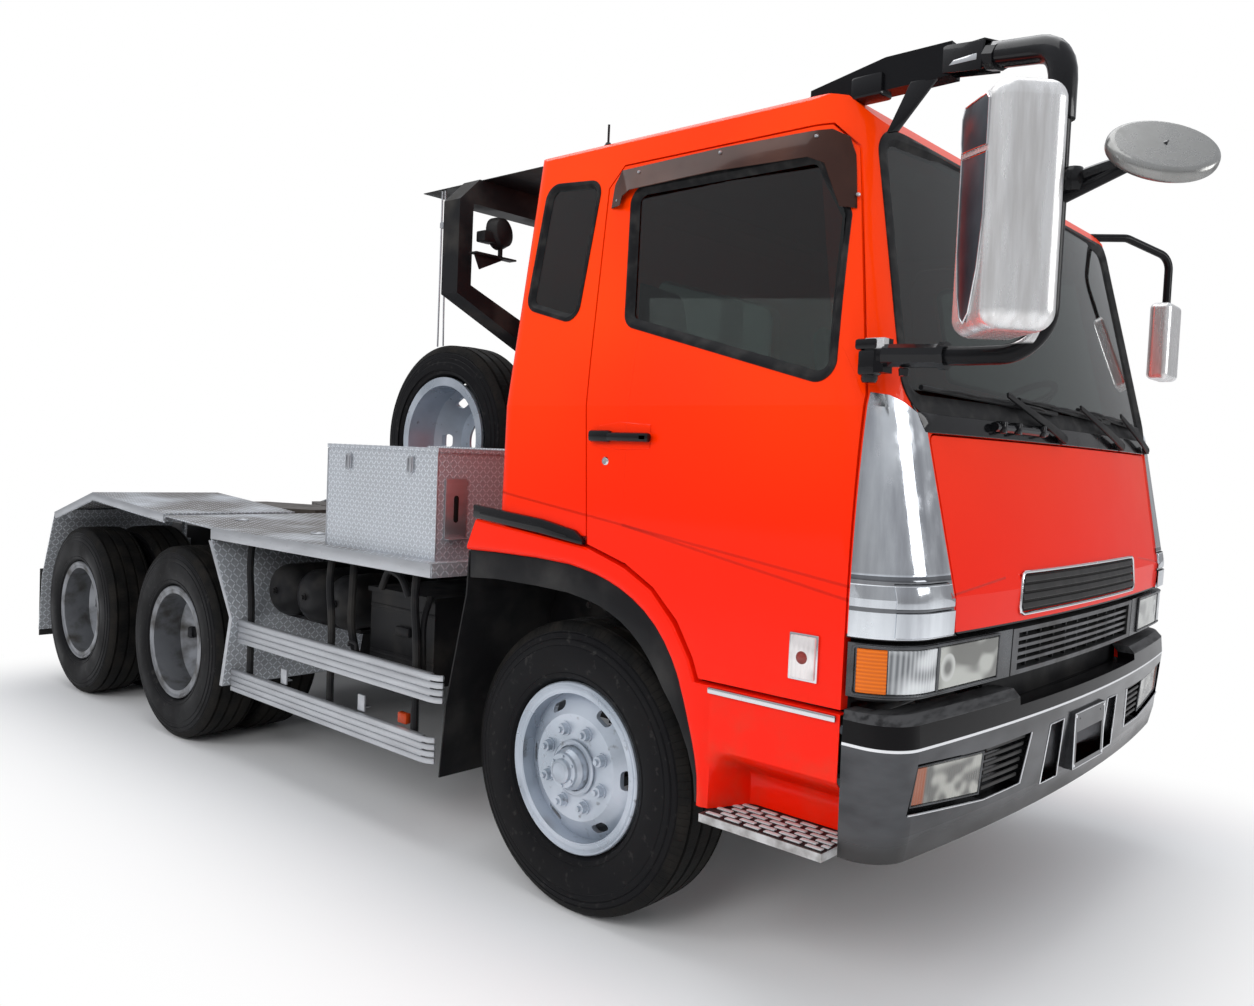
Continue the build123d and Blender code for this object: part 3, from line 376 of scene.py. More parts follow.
def tube(route, radius, bend=0.0, closed=False, sides=3):
    """A steel tube along straight runs, its corners turned on a bend radius."""
    points = [Vector(point) for point in route]
    line = []
    for index, point in enumerate(points):
        if bend and 0 < index < len(points) - 1:
            back = (points[index - 1] - point)
            on = (points[index + 1] - point)
            reach = min(bend, back.length * 0.48, on.length * 0.48)
            first, last = point + back.normalized() * reach, point + on.normalized() * reach
            for step in range(7):
                t = step / 6
                line.append(first * (1 - t) ** 2 + point * 2 * t * (1 - t) + last * t ** 2)
        else:
            line.append(point)
    curve = bpy.data.curves.new("tube", "CURVE")
    curve.dimensions = "3D"
    spline = curve.splines.new("POLY")
    spline.points.add(len(line) - 1)
    for spot, point in zip(spline.points, line):
        spot.co = (*point, 1)
    spline.use_cyclic_u = closed
    curve.bevel_depth, curve.bevel_resolution = radius, sides
    curve.use_fill_caps = True
    piece = bpy.data.objects.new("tube", curve)
    bpy.context.collection.objects.link(piece)
    alone(piece)
    bpy.ops.object.convert(target="MESH")
    return bpy.context.object


def spun(outline, centre, axis=(1, 0, 0), steps=48, closed=False):
    """Spins an outline of (out, along) points about an axis, as on a lathe."""
    axis = Vector(axis).normalized()
    out = axis.orthogonal().normalized()
    points = [Vector(centre) + out * radius + axis * along for radius, along in outline]
    edges = [(i, i + 1) for i in range(len(points) - 1)]
    if closed:
        edges.append((len(points) - 1, 0))
    piece = built("spun", points, edges, [])
    bpy.ops.object.mode_set(mode="EDIT")
    bpy.ops.mesh.select_all(action="SELECT")
    bpy.ops.mesh.spin(steps=steps, angle=2 * math.pi, center=centre, axis=axis)
    bpy.ops.mesh.select_all(action="SELECT")
    bpy.ops.mesh.remove_doubles(threshold=0.00002)
    bpy.ops.mesh.normals_make_consistent(inside=False)
    bpy.ops.object.mode_set(mode="OBJECT")
    return piece


# Bolt heads along the rails where the springs and brackets are fixed.
rail_bolts = []
for side in (-1, 1):
    for bolt_y in (-2.45, -2.35, -1.0, -0.9, 1.1, 1.2, 1.3, 2.35, 2.45, 2.55, 3.2, 3.3):
        for bolt_z in (0.80, 0.94):
            rail_bolts.append(spun([(0, 0.008), (0.011, 0.008), (0.012, 0), (0.017, 0),
                                    (0.017, -0.002), (0, -0.002)],
                                   (side * 0.427, bolt_y, bolt_z), (side, 0, 0), 6))
fitted(joined(rail_bolts), "rail_bolts", engine_iron, "chassis")

# ---------------------------------------------------------------- wheels
# Pressed steel rims sprayed silver, stained with brake dust, each held by eight nuts on a
# 275 mm circle round a bolted hub cap.
wheel_silver = Finish("wheel_silver", (0.42, 0.45, 0.50), 0.32, 0.6)
speck = wheel_silver.noise(30, 6).between(0.62, 0.76)
cloud = wheel_silver.noise(4, 4).between(0.3, 0.7)
silver = wheel_silver.mix(cloud, (0.40, 0.45, 0.51, 1), (0.58, 0.63, 0.70, 1))
wheel_silver.colour(speck * 0.55, silver, (0.13, 0.12, 0.11, 1))
wheel_silver.feed("Roughness", 0.26 + 0.12 * cloud + 0.3 * speck)
wheel_silver.bump(wheel_silver.noise(160, 2), 0.0004, 0.3)
axle_ys = {place: middle_y(f"{place}_rims_right") for place in ("mid", "rear")}
wheel_z = 0.512
dull_silver = Finish("dull_silver", (0.30, 0.31, 0.33), 0.42, 0.75)
dirt = dull_silver.noise(9, 6).between(0.4, 0.75)
dull_silver.colour(dirt, (0.30, 0.31, 0.33, 1), (0.10, 0.095, 0.088, 1))
dull_silver.feed("Roughness", 0.36 + 0.3 * dirt)
dull_silver.bump(dull_silver.noise(140, 3), 0.0005, 0.35)
wear(wheel_silver, "front_rim_right", "front_rim_left", "spare_rim")
wear(dull_silver, "mid_rims_right", "mid_rims_left", "rear_rims_right", "rear_rims_left")

nut_circle, nut_count = 0.137, 8
cap_bolt_circle, cap_bolt_count = 0.051, 6
nut_outline = [(0, 0.036), (0.009, 0.036), (0.011, 0.026), (0.019, 0.025), (0.0205, 0.005),
               (0.026, 0.005), (0.026, -0.002), (0, -0.002)]
cap_outline = [(0, 0.016), (0.012, 0.017), (0.030, 0.022), (0.040, 0.017), (0.043, 0.006),
               (0.059, 0.004), (0.062, -0.006), (0, -0.006)]
lip_outline = [(0.2985, -0.006), (0.2987, 0.002), (0.295, 0.006), (0.289, 0.007),
               (0.284, 0.003), (0.278, 0.0005), (0.270, 0.002), (0.264, 0.001),
               (0.259, -0.006), (0.259, -0.012), (0.290, -0.012)]
cap_bolt_outline = [(0, 0.007), (0.0055, 0.007), (0.0065, 0), (0, 0)]
hub_ring_outline = [(0.079, 0.002), (0.095, 0.002), (0.097, 0.010), (0.090, 0.014),
                    (0.080, 0.012)]


def ring_spots(side, out, axle_y, radius, count, first=0.0):
    """Evenly turned places round a wheel's axis."""
    for turn in range(count):
        angle = 2 * math.pi * (turn + first) / count
        yield (side * out, axle_y + radius * math.sin(angle), wheel_z + radius * math.cos(angle))


def wheel_fittings(name, side, face_x, cap_x, lip_x, axle_y, finish, body):
    """Nuts, hub cap, cap bolts and rim lip of one wheel, its nut face at face_x."""
    axis = (side, 0, 0)
    found = [spun(lip_outline, (side * lip_x, axle_y, wheel_z), axis, 72, True)]
    for spot in ring_spots(side, face_x, axle_y, nut_circle, nut_count, 0.5):
        found.append(spun(nut_outline, spot, axis, 12))
    found.append(spun(cap_outline, (side * cap_x, axle_y, wheel_z), axis, 40))
    for spot in ring_spots(side, cap_x + 0.003, axle_y, cap_bolt_circle, cap_bolt_count):
        found.append(spun(cap_bolt_outline, spot, axis, 8))
    found.append(spun(hub_ring_outline, (side * face_x, axle_y, wheel_z), axis, 40, True))
    return fitted(joined(found), name, finish, body)


for side, word in both_sides:
    wheel_fittings(f"front_nuts_{word}", side, face_x=1.141, cap_x=1.196, lip_x=1.149,
                   axle_y=front_axle_y, finish=wheel_silver, body=f"front_wheel_{word}")
    for place, axle_y in axle_ys.items():
        wheel_fittings(f"{place}_nuts_{word}", side, face_x=0.953, cap_x=1.053, lip_x=1.219,
                       axle_y=axle_y, finish=dull_silver, body=f"{place}_wheel_{word}")

# ---------------------------------------------------------------- tyres
# Ribbed truck tyres: round shoulders with three fine moulded rings, four tread grooves and
# sipes cut across the ribs. The rubber is black, greyed by a film of brownish dust.
tyre_wall = Finish("tyre_wall", (0.012, 0.012, 0.013), 0.55, Specular_IOR_Level=0.12)
film = tyre_wall.noise(5, 6).between(0.35, 0.8)
scuff = tyre_wall.noise(38, 5).between(0.60, 0.72)
rubber = tyre_wall.mix(film * 0.4, (0.0045, 0.0045, 0.0055, 1), (0.017, 0.016, 0.0155, 1))
tyre_wall.colour(scuff * 0.22, rubber, (0.08, 0.075, 0.07, 1))
tyre_wall.feed("Roughness", 0.42 + 0.25 * film)
tyre_wall.bump(tyre_wall.noise(260, 3), 0.0006, 0.35)

tyre_tread = Finish("tyre_tread", (0.014, 0.013, 0.013), 0.7, Specular_IOR_Level=0.12)
round_it = tyre_tread.node("ShaderNodeUVMap", {"uv_map": "tread"})
sipe_at = tyre_tread.node("ShaderNodeSeparateXYZ", None, {0: round_it}, 0)
sipe = ((sipe_at * (1 / 0.026)).apply("FRACT") - 0.5).apply("ABSOLUTE").between(0.44, 0.49)
mud = tyre_tread.noise(11, 5).between(0.35, 0.7)
tread = tyre_tread.mix(mud * 0.6, (0.006, 0.006, 0.006, 1), (0.024, 0.021, 0.018, 1))
# the sipes are painted near black: painted shade in the cuts, besides their bump
tyre_tread.colour(sipe * 0.6, tread, (0.004, 0.004, 0.004, 1))
tyre_tread.feed("Roughness", 0.6 + 0.2 * mud)
tyre_tread.bump(1 - sipe, 0.003, 0.6)


def tyre_outline(radius, width, bead):
    """Half section of a tyre from the bead to the middle of the tread, (out, along)."""
    half = width / 2
    wall = [(bead, half - 0.035), (bead + 0.016, half - 0.012), (bead + 0.030, half - 0.006),
            (bead + 0.034, half - 0.008), (bead + 0.050, half - 0.002),
            (radius - 0.118, half), (radius - 0.088, half - 0.002), (radius - 0.084, half - 0.005),
            (radius - 0.080, half - 0.004), (radius - 0.066, half - 0.006),
            (radius - 0.062, half - 0.010), (radius - 0.058, half - 0.008),
            (radius - 0.044, half - 0.011), (radius - 0.040, half - 0.015),
            (radius - 0.036, half - 0.013), (radius - 0.022, half - 0.020),
            (radius - 0.008, half - 0.031)]
    rib = []
    for groove in (0.66, 0.22):
        out = radius - 0.001 - 0.004 * groove
        rib += [(out, half * groove + 0.007), (out - 0.013, half * groove + 0.004),
                (out - 0.013, half * groove - 0.004), (out + 0.001, half * groove - 0.007)]
    return wall + rib


def make_tyre(centre, radius, width, bead, steps=96):
    """A whole tyre with a flat map of its tread: metres round, metres across."""
    half = tyre_outline(radius, width, bead)
    outline = half + [(out, -along) for out, along in reversed(half)]
    piece = spun(outline, centre, (1, 0, 0), steps, True)
    mesh = piece.data
    mesh.materials.append(tyre_wall.material)
    mesh.materials.append(tyre_tread.material)
    tread_map = mesh.uv_layers.new(name="tread")
    for face in mesh.polygons:
        spots = [mesh.vertices[mesh.loops[i].vertex_index].co for i in face.loop_indices]
        angles = [math.atan2(s.z - centre[2], s.y - centre[1]) for s in spots]
        if max(angles) - min(angles) > math.pi:
            angles = [a + 2 * math.pi if a < 0 else a for a in angles]
        for index, angle, spot in zip(face.loop_indices, angles, spots):
            tread_map.data[index].uv = (angle * radius, spot.x - centre[0])
        reach = math.hypot(face.center.y - centre[1], face.center.z - centre[2])
        face.material_index = 1 if reach > radius - 0.03 else 0
    return piece


def fit_tyres(name, tyres, body):
    """Joins the tyres of one wheel and puts them in place of the plain ones."""
    piece = joined(tyres) if len(tyres) > 1 else tyres[0]
    alone(piece)
    bpy.ops.object.shade_smooth_by_angle(angle=math.radians(30))
    piece.name = f"ribbed_{name}"
    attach(piece, body)
    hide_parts(name)


tyre_radius, tyre_width, bead_radius = 0.5119, 0.2796, 0.2988
front_tyre_x, twin_tyre_xs = 1.031, (1.101, 0.781)
for side, word in both_sides:
    front = make_tyre((side * front_tyre_x, front_axle_y, wheel_z), tyre_radius, tyre_width,
                      bead_radius)
    fit_tyres(f"front_tyre_{word}", [front], f"front_wheel_{word}")
    for place, axle_y in axle_ys.items():
        pair = [make_tyre((side * x, axle_y, wheel_z), tyre_radius, tyre_width, bead_radius)
                for x in twin_tyre_xs]
        fit_tyres(f"{place}_tyres_{word}", pair, f"{place}_wheel_{word}")
spare_low, spare_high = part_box("spare_tyre")
spare_middle = (spare_low + spare_high) / 2
spare = make_tyre(tuple(spare_middle), (spare_high.z - spare_low.z) / 2 - 0.0001,
                  spare_high.x - spare_low.x - 0.001, bead_radius)
fit_tyres("spare_tyre", [spare], "chassis")

# ---------------------------------------------------------------- coupling
# Cast fifth wheel plate on its trunnions, its top smeared with old black grease and
# polished where trailers have ridden on.
grease = Finish("coupling_grease", (0.05, 0.045, 0.04), 0.4, 0.8)
smear = grease.noise(8, 6, (1, 2.5, 1)).between(0.4, 0.7)
grease.colour(smear, (0.14, 0.12, 0.105, 1), (0.02, 0.017, 0.014, 1))
grease.feed("Metallic", 0.9 - 0.7 * smear)
grease.feed("Roughness", 0.3 + 0.3 * grease.noise(30, 4))
grease.bump(grease.noise(60, 5), 0.002, 0.4)
wear(grease, "fifth_wheel_plate", "fifth_wheel_base")

# ---------------------------------------------------------------- deck, rear wings and box
# Raised-bar aluminium plate. The deck and the wing tops are brown with dirt between the
# bars; the wing fronts and the tool box are cleaner. The box is closed sheet with a lid.


def bars(across, along, pitch):
    """Height of a tread of short bars laid alternately at right angles."""
    u, v = across * (1 / pitch), along * (1 / pitch)
    odd = (u.apply("FLOOR") + v.apply("FLOOR")).apply("PINGPONG", 1.0)
    a, b = u.apply("FRACT") - 0.5, v.apply("FRACT") - 0.5
    rise, fall = (a + b).apply("ABSOLUTE"), (a - b).apply("ABSOLUTE")
    width = rise * odd + fall * (1 - odd)
    length = fall * odd + rise * (1 - odd)
    return (1 - width.between(0.10, 0.26)) * (1 - length.between(0.62, 0.82))


def bar_plate(name, pitch, top_soil, side_soil):
    """Bar plate whose pattern runs over flat tops and over both upright directions."""
    finish = Finish(name, (0.55, 0.56, 0.58), 0.35, 0.9)
    split = [finish.facing(axis).apply("ABSOLUTE") > 0.65 for axis in "XYZ"]
    x, y, z = (finish.along(axis) for axis in "XYZ")
    side_bar, end_bar = bars(y, z, pitch), bars(x, z, pitch)
    raised = bars(x, y, pitch) * split[2] + side_bar * split[0] + end_bar * split[1]
    upright = split[0].apply("MAXIMUM", split[1])
    patch = finish.noise(2.2, 6).between(0.22, 0.62)
    soil = patch * (side_soil * upright + top_soil * (1 - upright))
    metal = finish.mix(raised, (0.55, 0.58, 0.62, 1), (0.80, 0.84, 0.89, 1))
    finish.colour(soil * (1 - 0.62 * raised), metal, (0.090, 0.074, 0.060, 1))
    finish.feed("Metallic", 0.62 - 0.5 * soil)
    finish.feed("Roughness", 0.34 + 0.12 * finish.noise(40, 3) + 0.35 * soil)
    finish.bump(raised, 0.0016, 0.8)
    return finish


deck_plate = bar_plate("deck_plate", 0.024, 0.95, 0.45)
wear(deck_plate, "deck", "rear_wings")
box_plate = bar_plate("box_plate", 0.019, 0.40, 0.14)
wear(box_plate, "tool_box", "tool_box_lid")

aluminium = Finish("aluminium", (0.60, 0.62, 0.65), 0.3, 0.8)
aluminium.colour(aluminium.noise(4, 5, (1, 1, 5)), (0.66, 0.68, 0.71, 1),
                 (0.38, 0.39, 0.41, 1))
aluminium.feed("Roughness", 0.24 + 0.25 * aluminium.noise(60, 3, (1, 0.1, 1)))
aluminium.bump(aluminium.noise(300, 2, (1, 0.05, 1)), 0.0003, 0.3)
wear(aluminium, "fuel_tank")
worn_tread = Finish("worn_tread", (0.5, 0.5, 0.5), 0.5, 0.5)
faces_up = worn_tread.facing("Z") > 0.7
worn = worn_tread.mix(worn_tread.noise(18, 5).between(0.35, 0.7), (0.62, 0.62, 0.62, 1),
                      (0.30, 0.29, 0.28, 1))
worn_tread.colour(faces_up * 0.9, worn, (0.04, 0.034, 0.03, 1))
worn_tread.feed("Roughness", 0.40 + 0.25 * worn_tread.noise(40, 4))
wear(worn_tread, "steps")

# Bright folded capping along the deck's and wings' outer edges, riveted at its joints.
deck_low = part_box("deck")[0]
edge_z, fold_y = 1.155, 0.9525
ridge_y, ridge_z = 2.4525, 1.250
rivet_count, rivet_pitch = 12, 0.145


def wing_edge(y):
    """Height of a rear wing's sheet ahead of its ridge."""
    return edge_z + (ridge_z - edge_z) * (y - fold_y) / (ridge_y - fold_y)


for side, word in both_sides:
    rail = [block((side * 1.2425 - 0.0015, deck_low.y + 0.004, edge_z - 0.056),
                  (side * 1.2425 + 0.0015, fold_y, edge_z - 0.001), 0.001)]
    for rivet in range(rivet_count):
        spot = (side * 1.244, deck_low.y + 0.05 + rivet * rivet_pitch, edge_z - 0.028)
        rail.append(spun([(0, 0.003), (0.003, 0.0022), (0.0048, 0), (0, 0)], spot,
                         (side, 0, 0), 10))
    fold = [(1.4925, wing_edge(1.4925)), (ridge_y, ridge_z), (3.0625, 1.090)]
    drop = [(1.4925, wing_edge(1.4925) - 0.042), (ridge_y, 1.205), (3.045, 1.050)]
    rail.append(plate_of([(side * 1.2412, y, z) for y, z in fold + drop[::-1]], 0.004, 0.001))
    fall = [(0.9475, 1.090), (0.7145, 0.731), (0.7975, 0.382)]
    back = [(0.9755, 1.090), (0.7425, 0.731), (0.8255, 0.382)]
    rail.append(plate_of([(side * 1.2412, y, z) for y, z in fall + back[::-1]], 0.004, 0.001))
    fitted(joined(rail), f"deck_capping_{word}", aluminium, "chassis")

# The box: folded rims, corner angles, toggle catches and a slotted bracket at its front.
box_low, box_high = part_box("tool_box")
trims = []
for x in (box_low.x, box_high.x):
    for y in (box_low.y, box_high.y):
        trims.append(block((x - 0.0025, y - 0.0025, box_low.z + 0.002),
                           (x + 0.0025, y + 0.0025, box_high.z - 0.003), 0.001))
fitted(joined(trims), "box_corner_angles", aluminium, "chassis")
catches = []
for y in (box_low.y + 0.17, box_high.y - 0.17):
    catches.append(block((box_low.x - 0.010, y - 0.018, box_high.z - 0.085),
                         (box_low.x - 0.002, y + 0.018, box_high.z - 0.022), 0.003))
    catches.append(tube([(box_low.x - 0.012, y - 0.012, box_high.z - 0.03),
                         (box_low.x - 0.014, y - 0.012, box_high.z - 0.09),
                         (box_low.x - 0.014, y + 0.012, box_high.z - 0.09),
                         (box_low.x - 0.012, y + 0.012, box_high.z - 0.03)], 0.0025, 0.01))
fitted(joined(catches), "box_catches", aluminium, "chassis")
bracket_y = box_low.y - 0.004
slot_plate = block((-1.142, bracket_y - 0.003, 1.24), (-1.036, bracket_y + 0.001, 1.48), 0.001)
shelf = block((-1.142, bracket_y - 0.030, 1.24), (-1.036, bracket_y, 1.244), 0.001)
fitted(joined([slot_plate, shelf]), "box_bracket", aluminium, "chassis")
# The slot is a near-black oval sheet on the bracket: painted shade for the hole.
slot_shade = Finish("slot_shade", (0.006, 0.006, 0.006), 0.8)
slot_shade.colour(slot_shade.noise(40, 3), (0.004, 0.004, 0.004, 1), (0.015, 0.013, 0.012, 1))
oval = [(-1.089 + 0.012 * math.sin(a), bracket_y - 0.0035,
         1.36 + (0.042 if math.cos(a) > 0 else -0.042) + 0.012 * math.cos(a))
        for a in (i * math.pi / 10 for i in range(20))]
fitted(plate_of(oval, 0.001, 0.0002), "box_bracket_slot", slot_shade, "chassis")

# Lashing rings let into the deck.
rings = []
for ring_x, ring_y in ((-0.95, 0.45), (-0.95, 1.2), (0.95, 0.45), (0.95, 1.2)):
    ring_z = edge_z + (0 if ring_y < fold_y else (ring_y - fold_y) * 0.0481)
    rings.append(spun([(0.030, 0.003), (0.033, 0.006), (0.036, 0.003), (0.033, 0.0)],
                      (ring_x, ring_y, ring_z + 0.001), (0, 0, 1), 28, True))
    rings.append(block((ring_x - 0.012, ring_y + 0.026, ring_z),
                       (ring_x + 0.012, ring_y + 0.046, ring_z + 0.007), 0.002))
fitted(joined(rings), "lashing_rings", aluminium, "chassis")

# ---------------------------------------------------------------- side equipment
# Two extruded aluminium guard rails each side, each with three grooves and a turned-in
# front end, on bent black posts; dome-ended air tanks and a battery box sit behind them.
rail_sizes = [(0.606, 0.722, -0.8395, 0.7105), (0.360, 0.470, -0.7995, 0.7705)]
guard_x = 1.215
for side, word in both_sides:
    found = []
    for low_z, high_z, front_y, back_y in rail_sizes:
        tall = high_z - low_z
        rib = tall / 4
        for band in range(4):
            z0 = low_z + band * rib + 0.0025
            z1 = low_z + (band + 1) * rib - 0.0025
            points = [(guard_x - 0.001, back_y), (guard_x - 0.001, front_y + 0.03),
                      (guard_x - 0.008, front_y - 0.005), (guard_x - 0.024, front_y - 0.028)]
            inner = [(x - 0.010, y + (0.004 if i > 1 else 0)) for i, (x, y)
                     in enumerate(points)]
            flat = [(side * x, y, (z0 + z1) / 2) for x, y in points + inner[::-1]]
            found.append(plate_of(flat, z1 - z0, 0.003))
        found.append(bar(side, guard_x - 0.026, guard_x - 0.006,
                         (front_y + 0.03, low_z + 0.001), (back_y, high_z - 0.001), 0.002))
    piece = fitted(joined(found), f"guard_rails_{word}", aluminium, "chassis")
    if side < 0:
        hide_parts("side_guards")
    posts = []
    for post_y in (-0.6875, -0.0675, 0.6425):
        x = side * (guard_x - 0.043)
        posts.append(tube([(x, post_y + 0.017, 0.372), (x, post_y + 0.017, 0.80),
                           (x - side * 0.002, post_y + 0.05, 1.0),
                           (x - side * 0.02, post_y + 0.05, 1.146)], 0.0165, 0.08))
        for low_z, high_z in ((0.62, 0.70), (0.385, 0.455)):
            posts.append(bar(side, guard_x - 0.043, guard_x - 0.026, (post_y, low_z),
                             (post_y + 0.034, high_z)))
    fitted(joined(posts), f"guard_posts_{word}", frame_black, "chassis")

amber = Finish("amber_plastic", (0.60, 0.08, 0.01), 0.25, Coat_Weight=0.2)
amber.colour(amber.noise(90, 2), (0.50, 0.055, 0.008, 1), (0.30, 0.03, 0.006, 1))
amber.bump((amber.along("Y") * 300).apply("SINE"), 0.0006, 0.6)
for side, word in both_sides:
    marker = bar(side, guard_x - 0.026, guard_x - 0.052, (-0.635, 0.478), (-0.575, 0.522),
                 0.006)
    fitted(marker, f"side_marker_{word}", amber, "chassis")
zinc = []
for y in (-0.35, 0.28):
    zinc.append(block((-1.195, y, 0.475), (-1.187, y + 0.05, 0.545), 0.002))
    zinc.append(block((0.02 - guard_x, y + 0.005, 0.49), (-1.16, y + 0.045, 0.495), 0.001))
fitted(joined(zinc), "guard_brackets", aluminium, "chassis")
hook = tube([(-1.19, -0.27, 0.725), (-1.19, -0.27, 0.752), (-1.19, -0.22, 0.756),
             (-1.19, -0.215, 0.735)], 0.007, 0.02)
fitted(hook, "guard_hook", frame_black, "chassis")

# Steel straps and pipe unions on the air tanks, hoses and handles on the battery box.
tank_fittings = []
for tank_y in (0.0725, 0.3345, 0.5965):
    for strap_x in (-0.66, -0.90):
        tank_fittings.append(spun([(0.1285, -0.016), (0.1305, -0.016), (0.1305, 0.016),
                                   (0.1285, 0.016)], (strap_x, tank_y, 0.870), (1, 0, 0),
                                  40, True))
    tank_fittings.append(spun([(0, 0.020), (0.012, 0.020), (0.012, 0.008), (0.018, 0.008),
                               (0.018, -0.004), (0, -0.004)], (-1.08, tank_y, 0.87),
                              (-1, 0, 0), 6))
fitted(joined(tank_fittings), "tank_straps", frame_black, "chassis")
gear = [tube([(-1.10, -0.10, 1.09), (-1.11, -0.10, 0.80), (-1.10, -0.14, 0.66),
              (-1.02, -0.14, 0.62)], 0.018, 0.08),
        tube([(-1.11, -0.52, 0.98), (-1.13, -0.50, 1.06), (-1.10, -0.36, 1.08),
              (-1.09, -0.30, 0.99)], 0.016, 0.05),
        tube([(-1.09, -0.64, 0.99), (-1.14, -0.66, 0.90), (-1.13, -0.66, 0.66),
              (-1.05, -0.65, 0.62)], 0.014, 0.06)]
gear.append(block((-1.092, -0.50, 0.80), (-1.068, -0.40, 0.84), 0.008))
gear.append(block((-1.075, -0.655, 0.90), (-1.069, -0.20, 0.915), 0.002))
gear.append(block((-1.075, -0.655, 0.70), (-1.069, -0.20, 0.715), 0.002))
fitted(joined(gear), "battery_box_fittings", frame_black, "chassis")
straps = []
for y in (-0.44, 0.14):
    straps.append(block((1.119, y - 0.02, 0.53), (1.124, y + 0.02, 0.91), 0.002))
straps.append(spun([(0, 0.035), (0.035, 0.035), (0.045, 0.028), (0.047, 0), (0, 0)],
                   (0.95, -0.30, 1.008), (0, 0, 1), 28))
fitted(joined(straps), "fuel_tank_fittings", frame_black, "chassis")

black_plastic = Finish("black_plastic", (0.014, 0.014, 0.015), 0.5)
black_plastic.colour(black_plastic.noise(5, 5).between(0.4, 0.8), (0.010, 0.010, 0.011, 1),
                     (0.034, 0.033, 0.032, 1))
black_plastic.feed("Roughness", 0.36 + 0.25 * black_plastic.noise(15, 4))
black_plastic.bump(black_plastic.noise(900, 2), 0.0004, 0.35)
wear(black_plastic, "mudguards", "dashboard", "steering_wheel")

# ---------------------------------------------------------------- hoop and roof sheet
# Painted square-tube hoop with a ribbed sheet on top, stayed by two thin rods; a work lamp
# hangs from a bracket on the right post.
wear(frame_black, "canopy_sheet")
arm_plate = block((-0.966, -0.700, 2.40), (-0.746, -0.655, 2.408), 0.002)
web = plate_of([(-0.960, -0.678, 2.40), (-0.800, -0.678, 2.40), (-0.930, -0.678, 2.34)],
               0.006)
lamp_post = tube([(-0.82, -0.678, 2.405), (-0.82, -0.678, 2.46)], 0.010)
lamp_back = spun([(0, 0.050), (0.030, 0.048), (0.058, 0.030), (0.066, 0.0), (0.066, -0.020),
                  (0.060, -0.024), (0.056, -0.018), (0, -0.016)], (-0.83, -0.678, 2.505),
                 (0.25, -1, 0.1), 32)
lamp_box = block((-0.93, -0.706, 2.455), (-0.86, -0.65, 2.50), 0.006)
fitted(joined([arm_plate, web, lamp_post, lamp_back, lamp_box]), "work_lamp", black_plastic,
       "chassis")
stays = [tube([(-0.87, -0.34, 2.719), (-0.60, 0.0125, 2.088)], 0.004),
         tube([(-0.87, -0.36, 2.719), (-0.60, -0.03, 2.090)], 0.004),
         block((-0.827, -0.31, 2.575), (-0.807, -0.27, 2.60), 0.003)]
fitted(joined(stays), "roof_stays", aluminium, "chassis")

# ---------------------------------------------------------------- cab, doors and front wings
# Pressed steel cab, doors, service lid and wings in glossy orange-red with a clear coat,
# a little uneven from age, with road dust low on the sides.
orange, orange_deep = (0.95, 0.052, 0.0006, 1), (0.91, 0.012, 0.0004, 1)
cab_paint = Finish("cab_paint", orange[:3], 0.35, Coat_Weight=0.28, Coat_Roughness=0.06,
                   Specular_IOR_Level=0.05)
patch = cab_paint.noise(0.9, 2)
height_now = cab_paint.along("Z")
low_down = 1 - height_now.between(0.55, 1.15)
grime = low_down * cab_paint.noise(9, 5).between(0.42, 0.8)
tone = cab_paint.mix(height_now.between(1.0, 2.3) * (1 - 0.4 * patch.between(0.35, 0.7)),
                     orange_deep, orange)
forward = cab_paint.along("Y") - front_axle_y
across = cab_paint.along("X").apply("ABSOLUTE")
# the steel behind the lamps, the lower grille and the bumper is painted black: painted shade for
# the dark recess there
shade_behind_lamps = (height_now < 1.1515) * (forward < -1.08).apply(
    "MAXIMUM", (forward < -0.95) * (across < 1.205) * (height_now > 0.78))
tone = cab_paint.mix(shade_behind_lamps, tone, (0.016, 0.016, 0.017, 1))
cab_paint.colour(grime * 0.3, tone, (0.30, 0.12, 0.06, 1))
cab_paint.feed("Roughness", 0.28 + 0.15 * cab_paint.noise(3, 4) + 0.3 * grime)
# two pressed creases run forward and down across each door, another over the lid's corners
upper_crease = (height_now - 0.1245 * forward).between(1.4055, 1.4175)
lower_crease = (height_now - 0.1684 * forward).between(1.4165, 1.4285)
on_door = across > 1.20
lid_crease = ((height_now + 0.10 * across).between(1.350, 1.358) * (across > 0.66)
              * (1 - on_door))
cab_paint.bump(on_door * (upper_crease + lower_crease * (forward < -0.26)) + lid_crease
               + 0.008 * cab_paint.noise(240, 2), 0.009, 0.9)
wear(cab_paint, "cab_shell", "front_panel", "door_right", "door_left")

glass = Finish("window_glass", (0.13, 0.16, 0.15), 0.02, Transmission_Weight=1.0, IOR=1.45)
glass.feed("Roughness", 0.01 + 0.05 * glass.noise(5, 5).between(0.5, 0.8))
wear(glass, "cab_glass", "door_glass_right", "door_glass_left")

seal_rubber = Finish("seal_rubber", (0.010, 0.010, 0.011), 0.55)
seal_rubber.colour(seal_rubber.noise(20, 5).between(0.4, 0.8), (0.008, 0.008, 0.009, 1),
                   (0.030, 0.029, 0.028, 1))
seal_rubber.feed("Roughness", 0.40 + 0.25 * seal_rubber.noise(30, 4))
gloss_black = Finish("gloss_black", (0.006, 0.006, 0.007), 0.16, Coat_Weight=0.3)
gloss_black.feed("Roughness", 0.12 + 0.25 * gloss_black.noise(9, 5).between(0.4, 0.8))
gloss_black.bump(gloss_black.noise(200, 2), 0.0002, 0.3)


